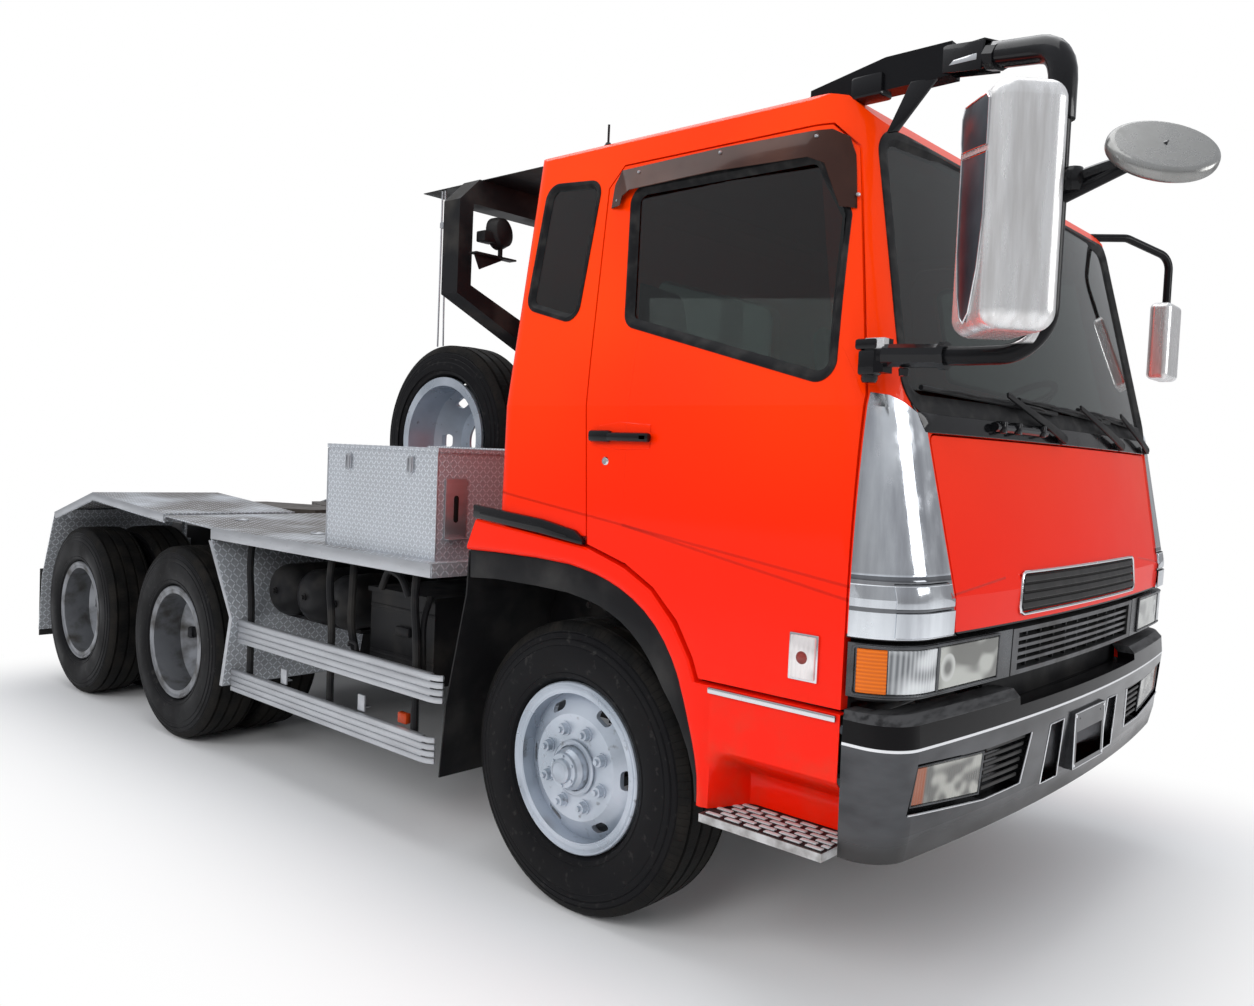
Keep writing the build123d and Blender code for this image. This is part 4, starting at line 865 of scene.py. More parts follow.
def hull(spots):
    """The convex outline of flat points, in order."""
    spots = sorted(spots)
    both = []
    for line in (spots, spots[::-1]):
        kept = []
        for spot in line:
            while len(kept) > 1 and ((kept[-1][0] - kept[-2][0]) * (spot[1] - kept[-2][1])
                                     <= (kept[-1][1] - kept[-2][1]) * (spot[0] - kept[-2][0])):
                kept.pop()
            kept.append(spot)
        both += kept[:-1]
    return both


def rim_of(node, axis, kept=lambda spot: True):
    """The outline of a node's points that are kept, seen along an axis (0 side, 1 front)."""
    return hull({(round(vertex.co[1 - axis], 4), round(vertex.co.z, 4))
                 for vertex in nodes[node].data.vertices if kept(vertex.co)})


def count_along(start, end, step):
    """How many steps fit between two points."""
    return max(1, int(math.hypot(end[0] - start[0], end[1] - start[1]) / step))


def part_way(start, end, step, steps):
    """The point that is some steps of the way from one to another."""
    return tuple(a + (b - a) * step / steps for a, b in zip(start, end))


def spaced(outline, step=0.03, closed=True):
    """An outline with extra points along its long edges."""
    found = []
    ends = outline[1:] + outline[:1] if closed else outline[1:]
    for start, end in zip(outline, ends):
        count = count_along(start, end, step)
        found += [part_way(start, end, i, count) for i in range(count)]
    return found if closed else found + [outline[-1]]


def moved_out(outline, reach):
    """An anticlockwise outline moved outwards by a distance."""
    found = []
    for index, (a, b) in enumerate(outline):
        before, after = outline[index - 1], outline[(index + 1) % len(outline)]
        run, rise = after[0] - before[0], after[1] - before[1]
        long = math.hypot(run, rise) or 1
        found.append((a + rise / long * reach, b - run / long * reach))
    return found


def on_skin(node, axis, side, u, v, stand_off=0.0):
    """The point on a node's outer skin that is seen at (u, v) along an axis."""
    start, heading = Vector((0, 0, v)), Vector((0, 0, 0))
    start[axis], start[1 - axis], heading[axis] = side * 4, u, -side
    hit, spot, normal, _ = nodes[node].ray_cast(start, heading)
    if not hit:
        return None
    return spot + normal * stand_off


def gasket(outline, node, axis, side, glass_depth, outside=0.014, inside=0.014, proud=0.006,
           bead=0.5):
    """A closed rubber section laid round a window opening, from the skin to the pane."""
    outline = spaced(outline)
    if sum(a[0] * b[1] - b[0] * a[1] for a, b in zip(outline, outline[1:] + outline[:1])) < 0:
        outline = outline[::-1]

    def levels(reach):
        found = [on_skin(node, axis, side, *spot) for spot in moved_out(outline, reach)]
        last = next(spot for spot in found if spot is not None)
        for index, spot in enumerate(found):
            found[index] = last = spot if spot is not None else last
        return [spot[axis] for spot in found]

    sections = [(outside, -0.002), (outside - 0.001, proud * 0.7), (outside * 0.45, proud),
                (-0.001, proud * 0.8), (-inside * 0.6, -glass_depth * bead),
                (-inside, -glass_depth - 0.001), (0.0, -glass_depth - 0.003),
                (outside * 0.3, -0.004)]
    points, count = [], len(outline)
    for reach, lift in sections:
        for (u, v), depth in zip(moved_out(outline, reach), levels(max(reach, 0.003))):
            spot = Vector((0, 0, v))
            spot[axis], spot[1 - axis] = depth + side * lift, u
            points.append(spot)
    faces = []
    rows = len(sections)
    for row in range(rows):
        for i in range(count):
            j = (i + 1) % count
            faces.append((row * count + i, row * count + j, (row + 1) % rows * count + j,
                          (row + 1) % rows * count + i))
    piece = built("gasket", points, [], faces)
    face_outwards()
    return piece


def sheet(rows, thickness, edge=0.0015):
    """A sheet through rows of points, thickened."""
    width = len(rows[0])
    faces = [(r * width + c, r * width + c + 1, (r + 1) * width + c + 1, (r + 1) * width + c)
             for r in range(len(rows) - 1) for c in range(width - 1)]
    piece = built("sheet", [spot for row in rows for spot in row], [], faces)
    face_outwards()
    thicken(piece, thickness)
    if edge:
        round_edges(piece, edge, 1)
    return piece


def draped(node, axis, side, rows, stand_off, thickness, edge=0.0015):
    """A sheet laid on a node: rows of flat points seen along an axis, then thickened."""
    points, width = [], len(rows[0])
    last = None
    for row in rows:
        for spot in row:
            found = on_skin(node, axis, side, *spot[:2])
            if found is None:
                found = Vector((0, 0, spot[1]))
                found[axis], found[1 - axis] = last[axis], spot[0]
            last = found.copy()
            found[axis] += side * (stand_off + (spot[2] if len(spot) > 2 else 0))
            points.append(found)
    return sheet([points[r * width:(r + 1) * width] for r in range(len(rows))], thickness,
                 edge)


def band_rows(first, second, across=3, step=0.04):
    """Rows of points from one line to another, each line given by matching points."""
    near, far = [], []
    for start, end, far_start, far_end in zip(first, first[1:], second, second[1:]):
        count = count_along(start, end, step)
        near += [part_way(start, end, i, count) for i in range(count)]
        far += [part_way(far_start, far_end, i, count) for i in range(count)]
    near.append(first[-1])
    far.append(second[-1])
    return [[part_way(p, q, row, across - 1) for p, q in zip(near, far)]
            for row in range(across)]


# Door windows and quarter windows in black rubber.
for side, word in both_sides:
    rim = rim_of(f"door_glass_{word}", 0)
    door = f"door_{word}"
    piece = gasket(rim, door, 0, side, 0.010, 0.013, 0.020, 0.005)
    fitted(piece, f"door_seal_{word}", seal_rubber, door)
    quarter = rim_of("cab_glass", 0, lambda spot: spot.x * side > 1.06
                     and -1.55 < spot.y < -1.24)
    piece = gasket(quarter, "cab_shell", 0, side, 0.010, 0.013, 0.016, 0.005)
    fitted(piece, f"quarter_seal_{word}", seal_rubber, "cab")

# Smoked acrylic visor over each door window, held off the skin by five rivets.
visor_brown = Finish("visor_brown", (0.030, 0.012, 0.008), 0.16, Coat_Weight=0.2)
visor_brown.colour(visor_brown.noise(3, 3).between(0.35, 0.7), (0.032, 0.011, 0.007, 1),
                   (0.070, 0.026, 0.016, 1))
visor_brown.feed("Roughness", 0.08 + 0.2 * visor_brown.noise(25, 4).between(0.5, 0.8))
visor_top = [(-0.060, 2.425), (-0.062, 2.505), (-0.085, 2.553), (-0.50, 2.560),
             (-0.88, 2.552), (-0.938, 2.520), (-0.956, 2.43), (-0.976, 2.315)]
visor_low = [(-0.118, 2.425), (-0.122, 2.455), (-0.150, 2.472), (-0.50, 2.480),
             (-0.83, 2.470), (-0.885, 2.445), (-0.915, 2.38), (-0.945, 2.315)]
for side, word in both_sides:
    door = f"door_{word}"
    rows = band_rows([(y + shift, z, 0.004) for y, z in visor_top],
                     [(y + shift, z, 0.026) for y, z in visor_low], 5)
    visor = draped(door, 0, side, rows, 0.0, 0.003)
    fitted(visor, f"door_visor_{word}", visor_brown, door)
    rivets = []
    for y, z in ((-0.09, 2.445), (-0.17, 2.530), (-0.50, 2.540), (-0.84, 2.530),
                 (-0.968, 2.35)):
        spot = on_skin(door, 0, side, y + shift, z, 0.012)
        rivets.append(spun([(0, 0.006), (0.004, 0.0045), (0.006, 0), (0.006, -0.004),
                            (0, -0.004)], tuple(spot), (side, 0, 0), 12))
    fitted(joined(rivets), f"visor_rivets_{word}", aluminium, door)

# Pull handle over a pressed cup, the lock below it, and the side lamp near the sill.
bright = Finish("bright_trim", (0.75, 0.76, 0.78), 0.12, 1.0)
bright.feed("Roughness", 0.10 + 0.2 * bright.noise(30, 4).between(0.45, 0.8))
clear_lens = Finish("clear_lens", (0.55, 0.56, 0.56), 0.08, 0.35, Coat_Weight=0.5)
flute = (clear_lens.along("Y") * 420).apply("SINE")
clear_lens.colour(clear_lens.noise(14, 4).between(0.35, 0.7), (0.80, 0.76, 0.75, 1),
                  (0.50, 0.46, 0.45, 1))
clear_lens.bump(flute, 0.0012, 0.6)
red_lens = Finish("red_lens", (0.6, 0.02, 0.01), 0.12, Coat_Weight=0.5)
red_lens.colour(red_lens.noise(30, 3), (0.30, 0.05, 0.04, 1), (0.16, 0.02, 0.018, 1))
for side, word in both_sides:
    body = f"door_{word}"
    cup = draped(body, 0, side, band_rows(
        [(-0.36 + shift, 1.625, 0.0), (-0.23 + shift, 1.618, 0.0), (-0.14 + shift, 1.63, 0.0)],
        [(-0.36 + shift, 1.70, 0.0), (-0.23 + shift, 1.708, 0.0), (-0.14 + shift, 1.695, 0.0)],
        3), 0.0015, 0.003)
    fitted(cup, f"handle_cup_{word}", cab_paint, body)
    grip_a = on_skin(body, 0, side, -0.373 + shift, 1.658, 0.020)
    grip_b = on_skin(body, 0, side, -0.113 + shift, 1.664, 0.020)
    xs = sorted((grip_a.x - side * 0.012, grip_a.x + side * 0.010))
    grip = block((xs[0], grip_a.y, 1.644), (xs[1], grip_b.y - 0.075, 1.674), 0.009)
    lug = block((xs[0] - 0.004 * (side > 0), grip_b.y - 0.095, 1.641),
                (xs[1] + 0.004 * (side < 0), grip_b.y, 1.680), 0.010)
    foot = block((min(xs[0], xs[0] + side * -0.02), grip_a.y + 0.008, 1.648),
                 (max(xs[1], xs[1] - 0.004), grip_a.y + 0.04, 1.670), 0.004)
    fitted(joined([grip, lug, foot]), f"door_handle_{word}", gloss_black, body)
    lock = on_skin(body, 0, side, -0.172 + shift, 1.58, 0.0)
    fitted(spun([(0, 0.003), (0.004, 0.003), (0.0045, 0.005), (0.010, 0.005), (0.013, 0.003),
                 (0.0145, 0), (0, -0.002)], tuple(lock), (side, 0, 0), 24),
           f"door_lock_{word}", bright, body)
    y0, y1, z0, z1 = -1.006 + shift, -0.912 + shift, 1.001, 1.133
    out = side * on_skin(body, 0, side, (y0 + y1) / 2, (z0 + z1) / 2).x
    fitted(bar(side, out - 0.002, out + 0.008, (y0, z0), (y1, z1), 0.0035),
           f"side_lamp_frame_{word}", bright, body)
    fitted(bar(side, out + 0.004, out + 0.015, (y0 + 0.006, z0 + 0.006),
               (y1 - 0.006, z1 - 0.006), 0.006),
           f"side_lamp_lens_{word}", clear_lens, body)
    bulb = (side * (out + 0.014), (y0 + y1) / 2, (z0 + z1) / 2)
    fitted(spun([(0, 0.0045), (0.006, 0.004), (0.010, 0.0025), (0.014, 0.001), (0.018, 0.001),
                 (0.020, 0), (0, -0.002)], bulb, (side, 0, 0), 24),
           f"side_lamp_bulb_{word}", red_lens, body)

# Each front wing is one pressing: a rolled lip round the arch, the flush panel under the
# door and the foot well above the step. A black liner shows inside the lip.
arch_pairs = [  # lip y, z and crest y, z
    (0.505, 1.231, 0.455, 1.345), (0.358, 1.235, 0.340, 1.334), (0.136, 1.236, 0.140, 1.315),
    (-0.020, 1.230, -0.020, 1.2996), (-0.090, 1.220, -0.100, 1.292),
    (-0.150, 1.209, -0.145, 1.2787), (-0.205, 1.194, -0.188, 1.266),
    (-0.262, 1.173, -0.276, 1.240), (-0.320, 1.145, -0.334, 1.211),
    (-0.372, 1.112, -0.392, 1.182), (-0.418, 1.073, -0.441, 1.135),
    (-0.456, 1.030, -0.490, 1.088), (-0.488, 0.983, -0.5225, 1.040),
    (-0.510, 0.942, -0.555, 0.992), (-0.516, 0.929, -0.582, 0.929)]
post_line = [(0.929, -0.516), (0.905, -0.525), (0.870, -0.539), (0.830, -0.553),
             (0.790, -0.566), (0.760, -0.576), (0.745, -0.5805), (0.733, -0.584),
             (0.715, -0.589), (0.695, -0.594), (0.675, -0.598), (0.660, -0.601),
             (0.648, -0.603), (0.635, -0.604), (0.600, -0.606), (0.562, -0.606)]
liner_in = [(0.500, 1.125), (0.358, 1.135), (0.136, 1.135), (-0.010, 1.130),
            (-0.065, 1.122), (-0.110, 1.115), (-0.155, 1.105), (-0.207, 1.088),
            (-0.260, 1.064), (-0.305, 1.036), (-0.348, 1.001), (-0.385, 0.962),
            (-0.420, 0.918), (-0.447, 0.880), (-0.480, 0.840), (-0.517, 0.785),
            (-0.553, 0.715), (-0.580, 0.640), (-0.590, 0.562)]


def ease(value):
    """0 below 0, 1 above 1, smooth between."""
    value = min(1.0, max(0.0, value))
    return value * value * (3 - 2 * value)


wing_x, well_depth, lip_wall = 1.2435, 0.142, 0.003
rolled_lip = [(0.0, 0.012), (0.004, 0.005), (0.010, 0.001), (0.018, 0.0)]  # along, fall
panel_ys = (-0.630, -0.638, -0.650, -0.665, -0.680, -0.695, -0.710, -0.730, -0.80, -0.90,
            -1.00, -1.060, -1.079)
wings = []
for side, word in both_sides:
    over = []
    for a, b, c, d in arch_pairs:
        wide = math.hypot(c - a, d - b)
        crest = [(wide * 0.4, 0.0), (wide * 0.7, 0.0), (wide - 0.006, 0.0005),
                 (wide, 0.005), (wide, 0.042)]
        over.append([Vector((side * (wing_x - fall), a + (c - a) * (along / wide) + shift,
                             b + (d - b) * (along / wide)))
                     for along, fall in rolled_lip + crest])
    under = []
    for z, lip_y in [post_line[0]] + post_line:
        row = [Vector((side * (wing_x - fall), lip_y - along + shift, z))
               for along, fall in rolled_lip]
        for y in panel_ys:
            well = well_depth * ease((0.748 - z) / 0.095) * ease((-0.645 - y) / 0.075)
            step_in = 0.004 * ease((-0.628 - y) / 0.010)
            row.append(Vector((side * (wing_x - step_in - well), y + shift, z)))
        if not under:
            row = [spot - Vector((side * 0.040, 0, 0)) for spot in row]
        under.append(row)
    bracket = bar(side, 0.42, 1.22, (-1.000 + shift, 0.860), (-0.960 + shift, 0.900))
    wings += [sheet(over, lip_wall, 0), sheet(under, lip_wall, 0), bracket]
    lip_points = [(a, b + 0.004) for a, b, c, d in arch_pairs[:-1]]
    lip_points += [(y - 0.004, z) for z, y in post_line[1::2]]
    liner = plate_of([(side * 1.215, y + shift, z) for y, z in lip_points + liner_in[::-1]],
                     0.020, 0.004)
    fitted(liner, f"arch_liner_{word}", black_plastic, "chassis")
wing_piece = fitted(joined(wings), "pressed_front_wings", cab_paint, "chassis")
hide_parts("front_fenders")

# Black garnish where the cab meets the wing, and the bright strip under the door. Both are
# clipped to the wing, so they ride on the frame with it.
for side, word in both_sides:
    top = [(0.462, 1.400), (0.10, 1.372), (-0.06, 1.345), (-0.10, 1.318)]
    low = [(0.462, 1.352), (0.10, 1.322), (-0.06, 1.304), (-0.10, 1.300)]
    cover = plate_of([(side * 1.2445, y + shift, z) for y, z in top + low[::-1]], 0.020,
                     0.005)
    slit = plate_of([(side * 1.2555, y + shift, z) for y, z in
                     ((0.42, 1.374), (0.10, 1.348), (-0.03, 1.326), (-0.03, 1.322),
                      (0.10, 1.340), (0.42, 1.362))], 0.004, 0.001)
    fitted(joined([cover, slit]), f"wing_garnish_{word}", gloss_black, "chassis")
    strip = bar(side, 1.2405, 1.2530, (-1.071 + shift, 0.9085), (-0.640 + shift, 0.9275),
                0.004)
    fitted(strip, f"sill_strip_{word}", bright, "chassis")

# Aerial and cable guide on the roof.
roof_bits = [tube([(-1.055, 0.045 + shift, 2.66), (-1.060, 0.04 + shift, 2.742)], 0.004),
             spun([(0, 0.010), (0.008, 0.010), (0.014, 0), (0, -0.01)],
                  (-1.055, 0.045 + shift, 2.672), (0, 0, 1), 16)]
fitted(joined(roof_bits), "roof_aerial", black_plastic, "cab")

# ---------------------------------------------------------------- windshield
# Bonded laminated screen in a wide black rubber frame over a black cowl, with three wipers
# and a washer bar parked along its lower edge.
screen = rim_of("cab_glass", 1, lambda spot: spot.y < -2.3)
screen_seal = gasket(screen, "cab_shell", 1, -1, 0.010, 0.026, 0.030, 0.006)
fitted(screen_seal, "screen_seal", seal_rubber, "cab")
cowl_rows = band_rows([(-1.03, 1.699), (0.0, 1.699), (1.03, 1.699)],
                      [(-1.075, 1.775), (0.0, 1.775), (1.075, 1.775)], 4, 0.05)
cowl = draped("cab_shell", 1, -1, cowl_rows, 0.004, 0.006)
fitted(cowl, "cowl", gloss_black, "cab")
cowl_z, screen_slope = 1.735, 0.2075


def at_screen(x, z, proud):
    """A point in front of the screen and cowl."""
    skin = on_skin("cab_shell", 1, -1, x, cowl_z)
    slope = (z - cowl_z) * screen_slope
    return Vector((x, skin.y + max(0.0, slope) - proud, z))


# pivot, elbow where the arm meets the blade, blade ends
wipers = [((-0.157, 1.716), (-0.578, 1.834), (-1.03, 1.822), (-0.16, 1.800)),
          ((0.510, 1.716), (0.02, 1.834), (-0.45, 1.828), (0.42, 1.800)),
          ((0.972, 1.716), (0.52, 1.834), (0.06, 1.828), (0.90, 1.800))]
wiper_parts = []
for pivot, elbow, tip, heel in wipers:
    base = at_screen(*pivot, 0.014)
    knee = at_screen(*elbow, 0.034)
    wiper_parts.append(spun([(0, 0.022), (0.010, 0.022), (0.016, 0.016), (0.018, 0), (0, 0)],
                            tuple(base), (0, -1, 0.1), 20))
    reach = knee - base
    side_way = reach.normalized().cross(Vector((0, -1, 0.2))).normalized()
    arm = [base + side_way * 0.016 + Vector((0, -0.018, 0)),
           base + reach * 0.35 + side_way * 0.014 + Vector((0, -0.016, 0)),
           knee + side_way * 0.008, knee - side_way * 0.008,
           base + reach * 0.35 - side_way * 0.014 + Vector((0, -0.016, 0)),
           base - side_way * 0.016 + Vector((0, -0.018, 0))]
    wiper_parts.append(plate_of(arm, 0.008, 0.002))
    a, b = at_screen(*tip, 0.010), at_screen(*heel, 0.010)
    wiper_parts.append(tube([a, (a + b) / 2 + Vector((0, -0.003, 0)), b], 0.0075))
    for t0, t1, arch in ((0.08, 0.42, 0.018), (0.58, 0.92, 0.018), (0.25, 0.75, 0.026)):
        low, high = a.lerp(b, t0), a.lerp(b, t1)
        rise = Vector((0, -arch, 0.004))
        wiper_parts.append(tube([low, low.lerp(high, 0.3) + rise, low.lerp(high, 0.7) + rise,
                                 high], 0.0035, 0.03))
fitted(joined(wiper_parts), "wipers", black_plastic, "cab")
washer = [tube([at_screen(-0.66, 1.733, 0.018), at_screen(-0.30, 1.731, 0.018)], 0.014)]
for x in (-0.62, -0.52, -0.34):  # its clips
    hold = at_screen(x, 1.733, 0.018)
    washer.append(block((x - 0.012, hold.y - 0.018, 1.715), (x + 0.012, hold.y + 0.016, 1.752),
                        0.005))
fitted(joined(washer), "washer_bar", gloss_black, "cab")

# ---------------------------------------------------------------- service lid and grilles
# The lid carries a black slatted grille in a thin bright frame; below it a metallic grey
# grille stands in a dark surround between the headlamps.
below_grille, above_grille = 1.160, 1.306


def lid_face(x, z, proud):
    """A point on the lid's face, read above and below its grille opening."""
    low = on_skin("front_panel", 1, -1, x, below_grille)
    high = on_skin("front_panel", 1, -1, x, above_grille)
    rise = (z - below_grille) / (above_grille - below_grille)
    return low.lerp(high, rise) + Vector((0, -proud, 0))


def lid_band(half_low, z_low, half_high, z_high, proud, lean, thickness):
    """A sheet across the lid between two heights, its top leaning back."""
    rows = []
    for z, half, out in ((z_low, half_low, proud), (z_high, half_high, proud - lean)):
        rows.append([lid_face(half * (k / 8 - 1), z, out) for k in range(17)])
    return sheet(rows, thickness)


# The lid grille's back is a near-black sheet on the lid face behind the slats: painted shade for
# the opening.
vent_shade = Finish("vent_shade", (0.008, 0.008, 0.008), 0.6)
vent_shade.colour(vent_shade.noise(25, 4), (0.005, 0.005, 0.005, 1), (0.018, 0.016, 0.015, 1))
slat_black = Finish("slat_black", (0.02, 0.02, 0.021), 0.35)
slat_black.feed("Roughness", 0.28 + 0.25 * slat_black.noise(20, 4))
slat_black.colour(slat_black.noise(8, 5), (0.014, 0.014, 0.015, 1), (0.045, 0.043, 0.041, 1))
fitted(lid_band(0.565, 1.178, 0.548, 1.290, 0.001, 0.0, 0.004), "lid_grille_back", vent_shade,
       "front_lid")
slat_count, slat_pitch = 4, 0.0265
slats = [lid_band(0.556 - row * 0.004, 1.188 + row * slat_pitch, 0.555 - row * 0.004,
                  1.205 + row * slat_pitch, 0.010, 0.006, 0.005) for row in range(slat_count)]
fitted(joined(slats), "lid_grille_slats", slat_black, "front_lid")
rim = [(-0.545, 1.172), (0.545, 1.172), (0.566, 1.180), (0.570, 1.196), (0.556, 1.278),
       (0.550, 1.292), (0.535, 1.298), (-0.535, 1.298), (-0.550, 1.292), (-0.556, 1.278),
       (-0.570, 1.196), (-0.566, 1.180)]
fitted(tube([lid_face(u, v, 0.006) for u, v in spaced(rim, 0.05)], 0.0055, closed=True),
       "lid_grille_frame", bright, "front_lid")
grille_grey = Finish("grille_grey", (0.12, 0.123, 0.128), 0.32, 0.75)
grille_grey.colour(grille_grey.noise(7, 5).between(0.35, 0.7), (0.13, 0.132, 0.138, 1),
                   (0.065, 0.064, 0.063, 1))
grille_grey.feed("Roughness", 0.26 + 0.25 * grille_grey.noise(20, 4))
wear(grille_grey, "lower_grille")
# upright stays between the lower grille's bars
stays = []
for place in range(-4, 5):
    u = place * 0.11
    spot = on_skin("lower_grille", 1, -1, u, 0.990)
    stays.append(block((u - 0.003, spot.y + 0.018, 0.999), (u + 0.003, spot.y + 0.032, 1.114),
                       0.0015))
fitted(joined(stays), "grille_stays", grille_grey, "cab")

# ---------------------------------------------------------------- chrome corners and headlamps
# Chromed corner panels, hazed, their colour streaked light and dark as painted reflections
# and darkened at their steps as painted shade, with two stepped bands at their foot. Each
# lamp unit has an amber segment, a fluted main lens and a round reflector behind a clear one,
# the lenses painted with light, shade and reflections.
chrome = Finish("chrome_corner", (0.5, 0.51, 0.53), 0.15, 1.0)
# the colour is streaked light and dark: painted reflections of the hall
reflection_streak = chrome.noise(2.2, 5, (5, 5, 0.5)).between(0.3, 0.72)
height_now = chrome.along("Z")
# dark bands at the upper ledge and in the gap between the bands: painted shade at the steps
ledge = (height_now - 1.300).apply("ABSOLUTE") < 0.012
ledge_low = (height_now - 1.222).apply("ABSOLUTE") < 0.006
seam = ledge.apply("MAXIMUM", ledge_low)
metal = chrome.mix(reflection_streak, (0.92, 0.96, 1.0, 1), (0.48, 0.50, 0.54, 1))
chrome.colour(seam * 0.8, metal, (0.05, 0.05, 0.055, 1))
chrome.feed("Roughness", 0.09 + 0.22 * chrome.noise(14, 5).between(0.4, 0.8))
chrome.bump(height_now.between(1.285, 1.300) - height_now.between(1.300, 1.318), 0.006, 0.8)
wear(chrome, "corner_panels")
for side, word in both_sides:
    bands = []
    for z0, z1, lift in ((1.150, 1.218, 0.006), (1.226, 1.292, 0.003)):
        low, high = ([(side * x, z) for x in (0.985, 1.10, 1.20)] for z in (z0, z1))
        rows = band_rows(low, high, 4, 0.02)
        bands.append(draped("corner_panels", 1, -1, rows, lift, 0.004))
    fitted(joined(bands), f"corner_bands_{word}", chrome, "cab")

surround = Finish("lamp_surround", (0.10, 0.103, 0.11), 0.22, 0.85)
surround.colour(surround.noise(5, 5).between(0.35, 0.7), (0.13, 0.135, 0.142, 1),
                (0.05, 0.05, 0.052, 1))
surround.feed("Roughness", 0.18 + 0.2 * surround.noise(25, 4))
wear(surround, "headlamps")
lamp_glass = Finish("lamp_glass", (0.6, 0.6, 0.6), 0.06, 0.4, Coat_Weight=0.5)
# the main lens is painted with reflections: light and dark patches for the reflector seen through
# it, and light flute lines as painted highlights
flutes = lamp_glass.ripple("X", 520)
depth = lamp_glass.noise(10, 0, (1, 1, 1.6)).between(0.36, 0.66)
shade = lamp_glass.mix(depth, (0.66, 0.68, 0.69, 1), (0.16, 0.17, 0.18, 1))
lamp_glass.colour(flutes * 0.35, shade, (0.82, 0.84, 0.85, 1))
lamp_glass.bump(flutes, 0.0012, 0.5)
beam_glass = Finish("beam_glass", (0.5, 0.5, 0.5), 0.05, 0.5, Coat_Weight=0.5)
# the beam lens is painted as a reflector: its round bowl dark in the middle and brighter outwards,
# a painted reflection and highlight, with painted light and dark reflections round it
bowl_x = beam_glass.along("X").apply("ABSOLUTE") - 0.990
bowl_z = beam_glass.along("Z") - 1.058
bowl = (bowl_x * bowl_x + bowl_z * bowl_z).apply("SQRT")
outer_part = beam_glass.mix(beam_glass.noise(8, 0, (1.3, 1, 2.4)).between(0.35, 0.65),
                            (0.50, 0.51, 0.47, 1), (0.17, 0.17, 0.155, 1))
bowl_part = beam_glass.mix(bowl.between(0.010, 0.034), (0.16, 0.16, 0.15, 1),
                           (0.58, 0.59, 0.56, 1))
beam_glass.colour(bowl.between(0.036, 0.042), bowl_part, outer_part)
amber_lens = Finish("amber_lens", (0.9, 0.22, 0.01), 0.15, Coat_Weight=0.4)
# the ribs are painted in lighter and darker amber bands: painted light and shade on the ribs,
# besides their bump
rib_row = amber_lens.ripple("Z", 620)
amber_lens.colour(rib_row * 0.5, (0.80, 0.17, 0.004, 1), (0.42, 0.06, 0.002, 1))
amber_lens.bump(rib_row, 0.0012, 0.5)
lamp_turn, lamp_corner_y = 1.19, -2.744


def lamp_face(side, reach, z, proud):
    """A point on a lamp unit: reach runs out across its front to the turn, then back."""
    if reach <= lamp_turn:
        return on_skin("headlamps", 1, -1, side * reach, z) + Vector((0, -proud, 0))
    skin = on_skin("headlamps", 0, side, lamp_corner_y + reach - lamp_turn, z)
    return skin + Vector((side * proud, 0, 0))


def lens(name, side, first, last, finish, proud=0.003, low=1.000, high=1.118):
    """A lamp lens laid over its housing between two reaches."""
    count = max(2, round((last - first) / 0.012))
    rows = [[lamp_face(side, first + (last - first) * k / count, low + (high - low) * r / 4,
                       proud) for k in range(count + 1)] for r in range(5)]
    return fitted(sheet(rows, 0.005, 0.002), name, finish, "cab")


for side, word in both_sides:
    lens(f"beam_lens_{word}", side, 0.700, 1.035, beam_glass)
    lens(f"main_lens_{word}", side, 1.050, 1.195, lamp_glass)
    lens(f"turn_lens_{word}", side, 1.197, 1.268, amber_lens)
    rim = [lamp_face(side, u, v, 0.003) for u, v in
           spaced([(0.694, 0.994), (1.272, 0.994), (1.278, 1.000), (1.278, 1.118),
                   (1.272, 1.124), (0.694, 1.124)], 0.02)]
    fitted(tube(rim, 0.0045, closed=True), f"lamp_rim_{word}", surround, "cab")
    divider = sheet([[lamp_face(side, u, 0.998 + 0.122 * r / 4, 0.004) for u in
                      (1.036, 1.042, 1.049)] for r in range(5)], 0.007)
    fitted(divider, f"lamp_divider_{word}", surround, "cab")

# Black sheet that closes the gap between the lower grille and the bumper: painted shade for the
# dark gap.
fitted(block((-0.64, -2.765, 0.80), (0.64, -2.752, 0.984), 0.003), "grille_gap_shade",
       black_plastic, "chassis")

# ---------------------------------------------------------------- bumper
# One wrap-round moulding: dark polished metal below a bright line, gloss black above it and
# weathered grey plastic on the step. Fog lamps and louvred vents sit in its pockets.
bright_line_z, black_z, step_z = 0.853, 0.861, 0.922
bumper_metal = Finish("bumper_metal", (0.2, 0.2, 0.2), 0.2, 1.0)
level = bumper_metal.along("Z")
is_line = level > bright_line_z
is_black = level > black_z
is_step = level > step_z
tarnish = bumper_metal.noise(3, 5, (1, 1, 2.5)).between(0.3, 0.75)
foot = 1 - level.between(0.55, 0.66)
lower = bumper_metal.mix(tarnish, (0.105, 0.108, 0.115, 1), (0.034, 0.034, 0.036, 1))
lower = bumper_metal.mix(foot * 0.7, lower, (0.07, 0.068, 0.066, 1))
lined = bumper_metal.mix(is_line, lower, (0.80, 0.81, 0.83, 1))
weathered = bumper_metal.mix(bumper_metal.noise(12, 6, (1, 4, 4)).between(0.4, 0.7),
                             (0.060, 0.060, 0.062, 1), (0.018, 0.018, 0.019, 1))
upper = bumper_metal.mix(is_step, (0.004, 0.0035, 0.004, 1), weathered)
bumper_metal.colour(is_black, lined, upper)
bumper_metal.feed("Metallic", 1 - is_black)
bumper_metal.feed("Roughness", 0.12 + 0.10 * tarnish + 0.2 * foot + 0.35 * is_step)
bumper_metal.bump(bumper_metal.noise(150, 3), 0.0003, 0.25)
wear(bumper_metal, "bumper")
fog_glass = Finish("fog_glass", (0.5, 0.5, 0.48), 0.07, 0.35, Coat_Weight=0.5)
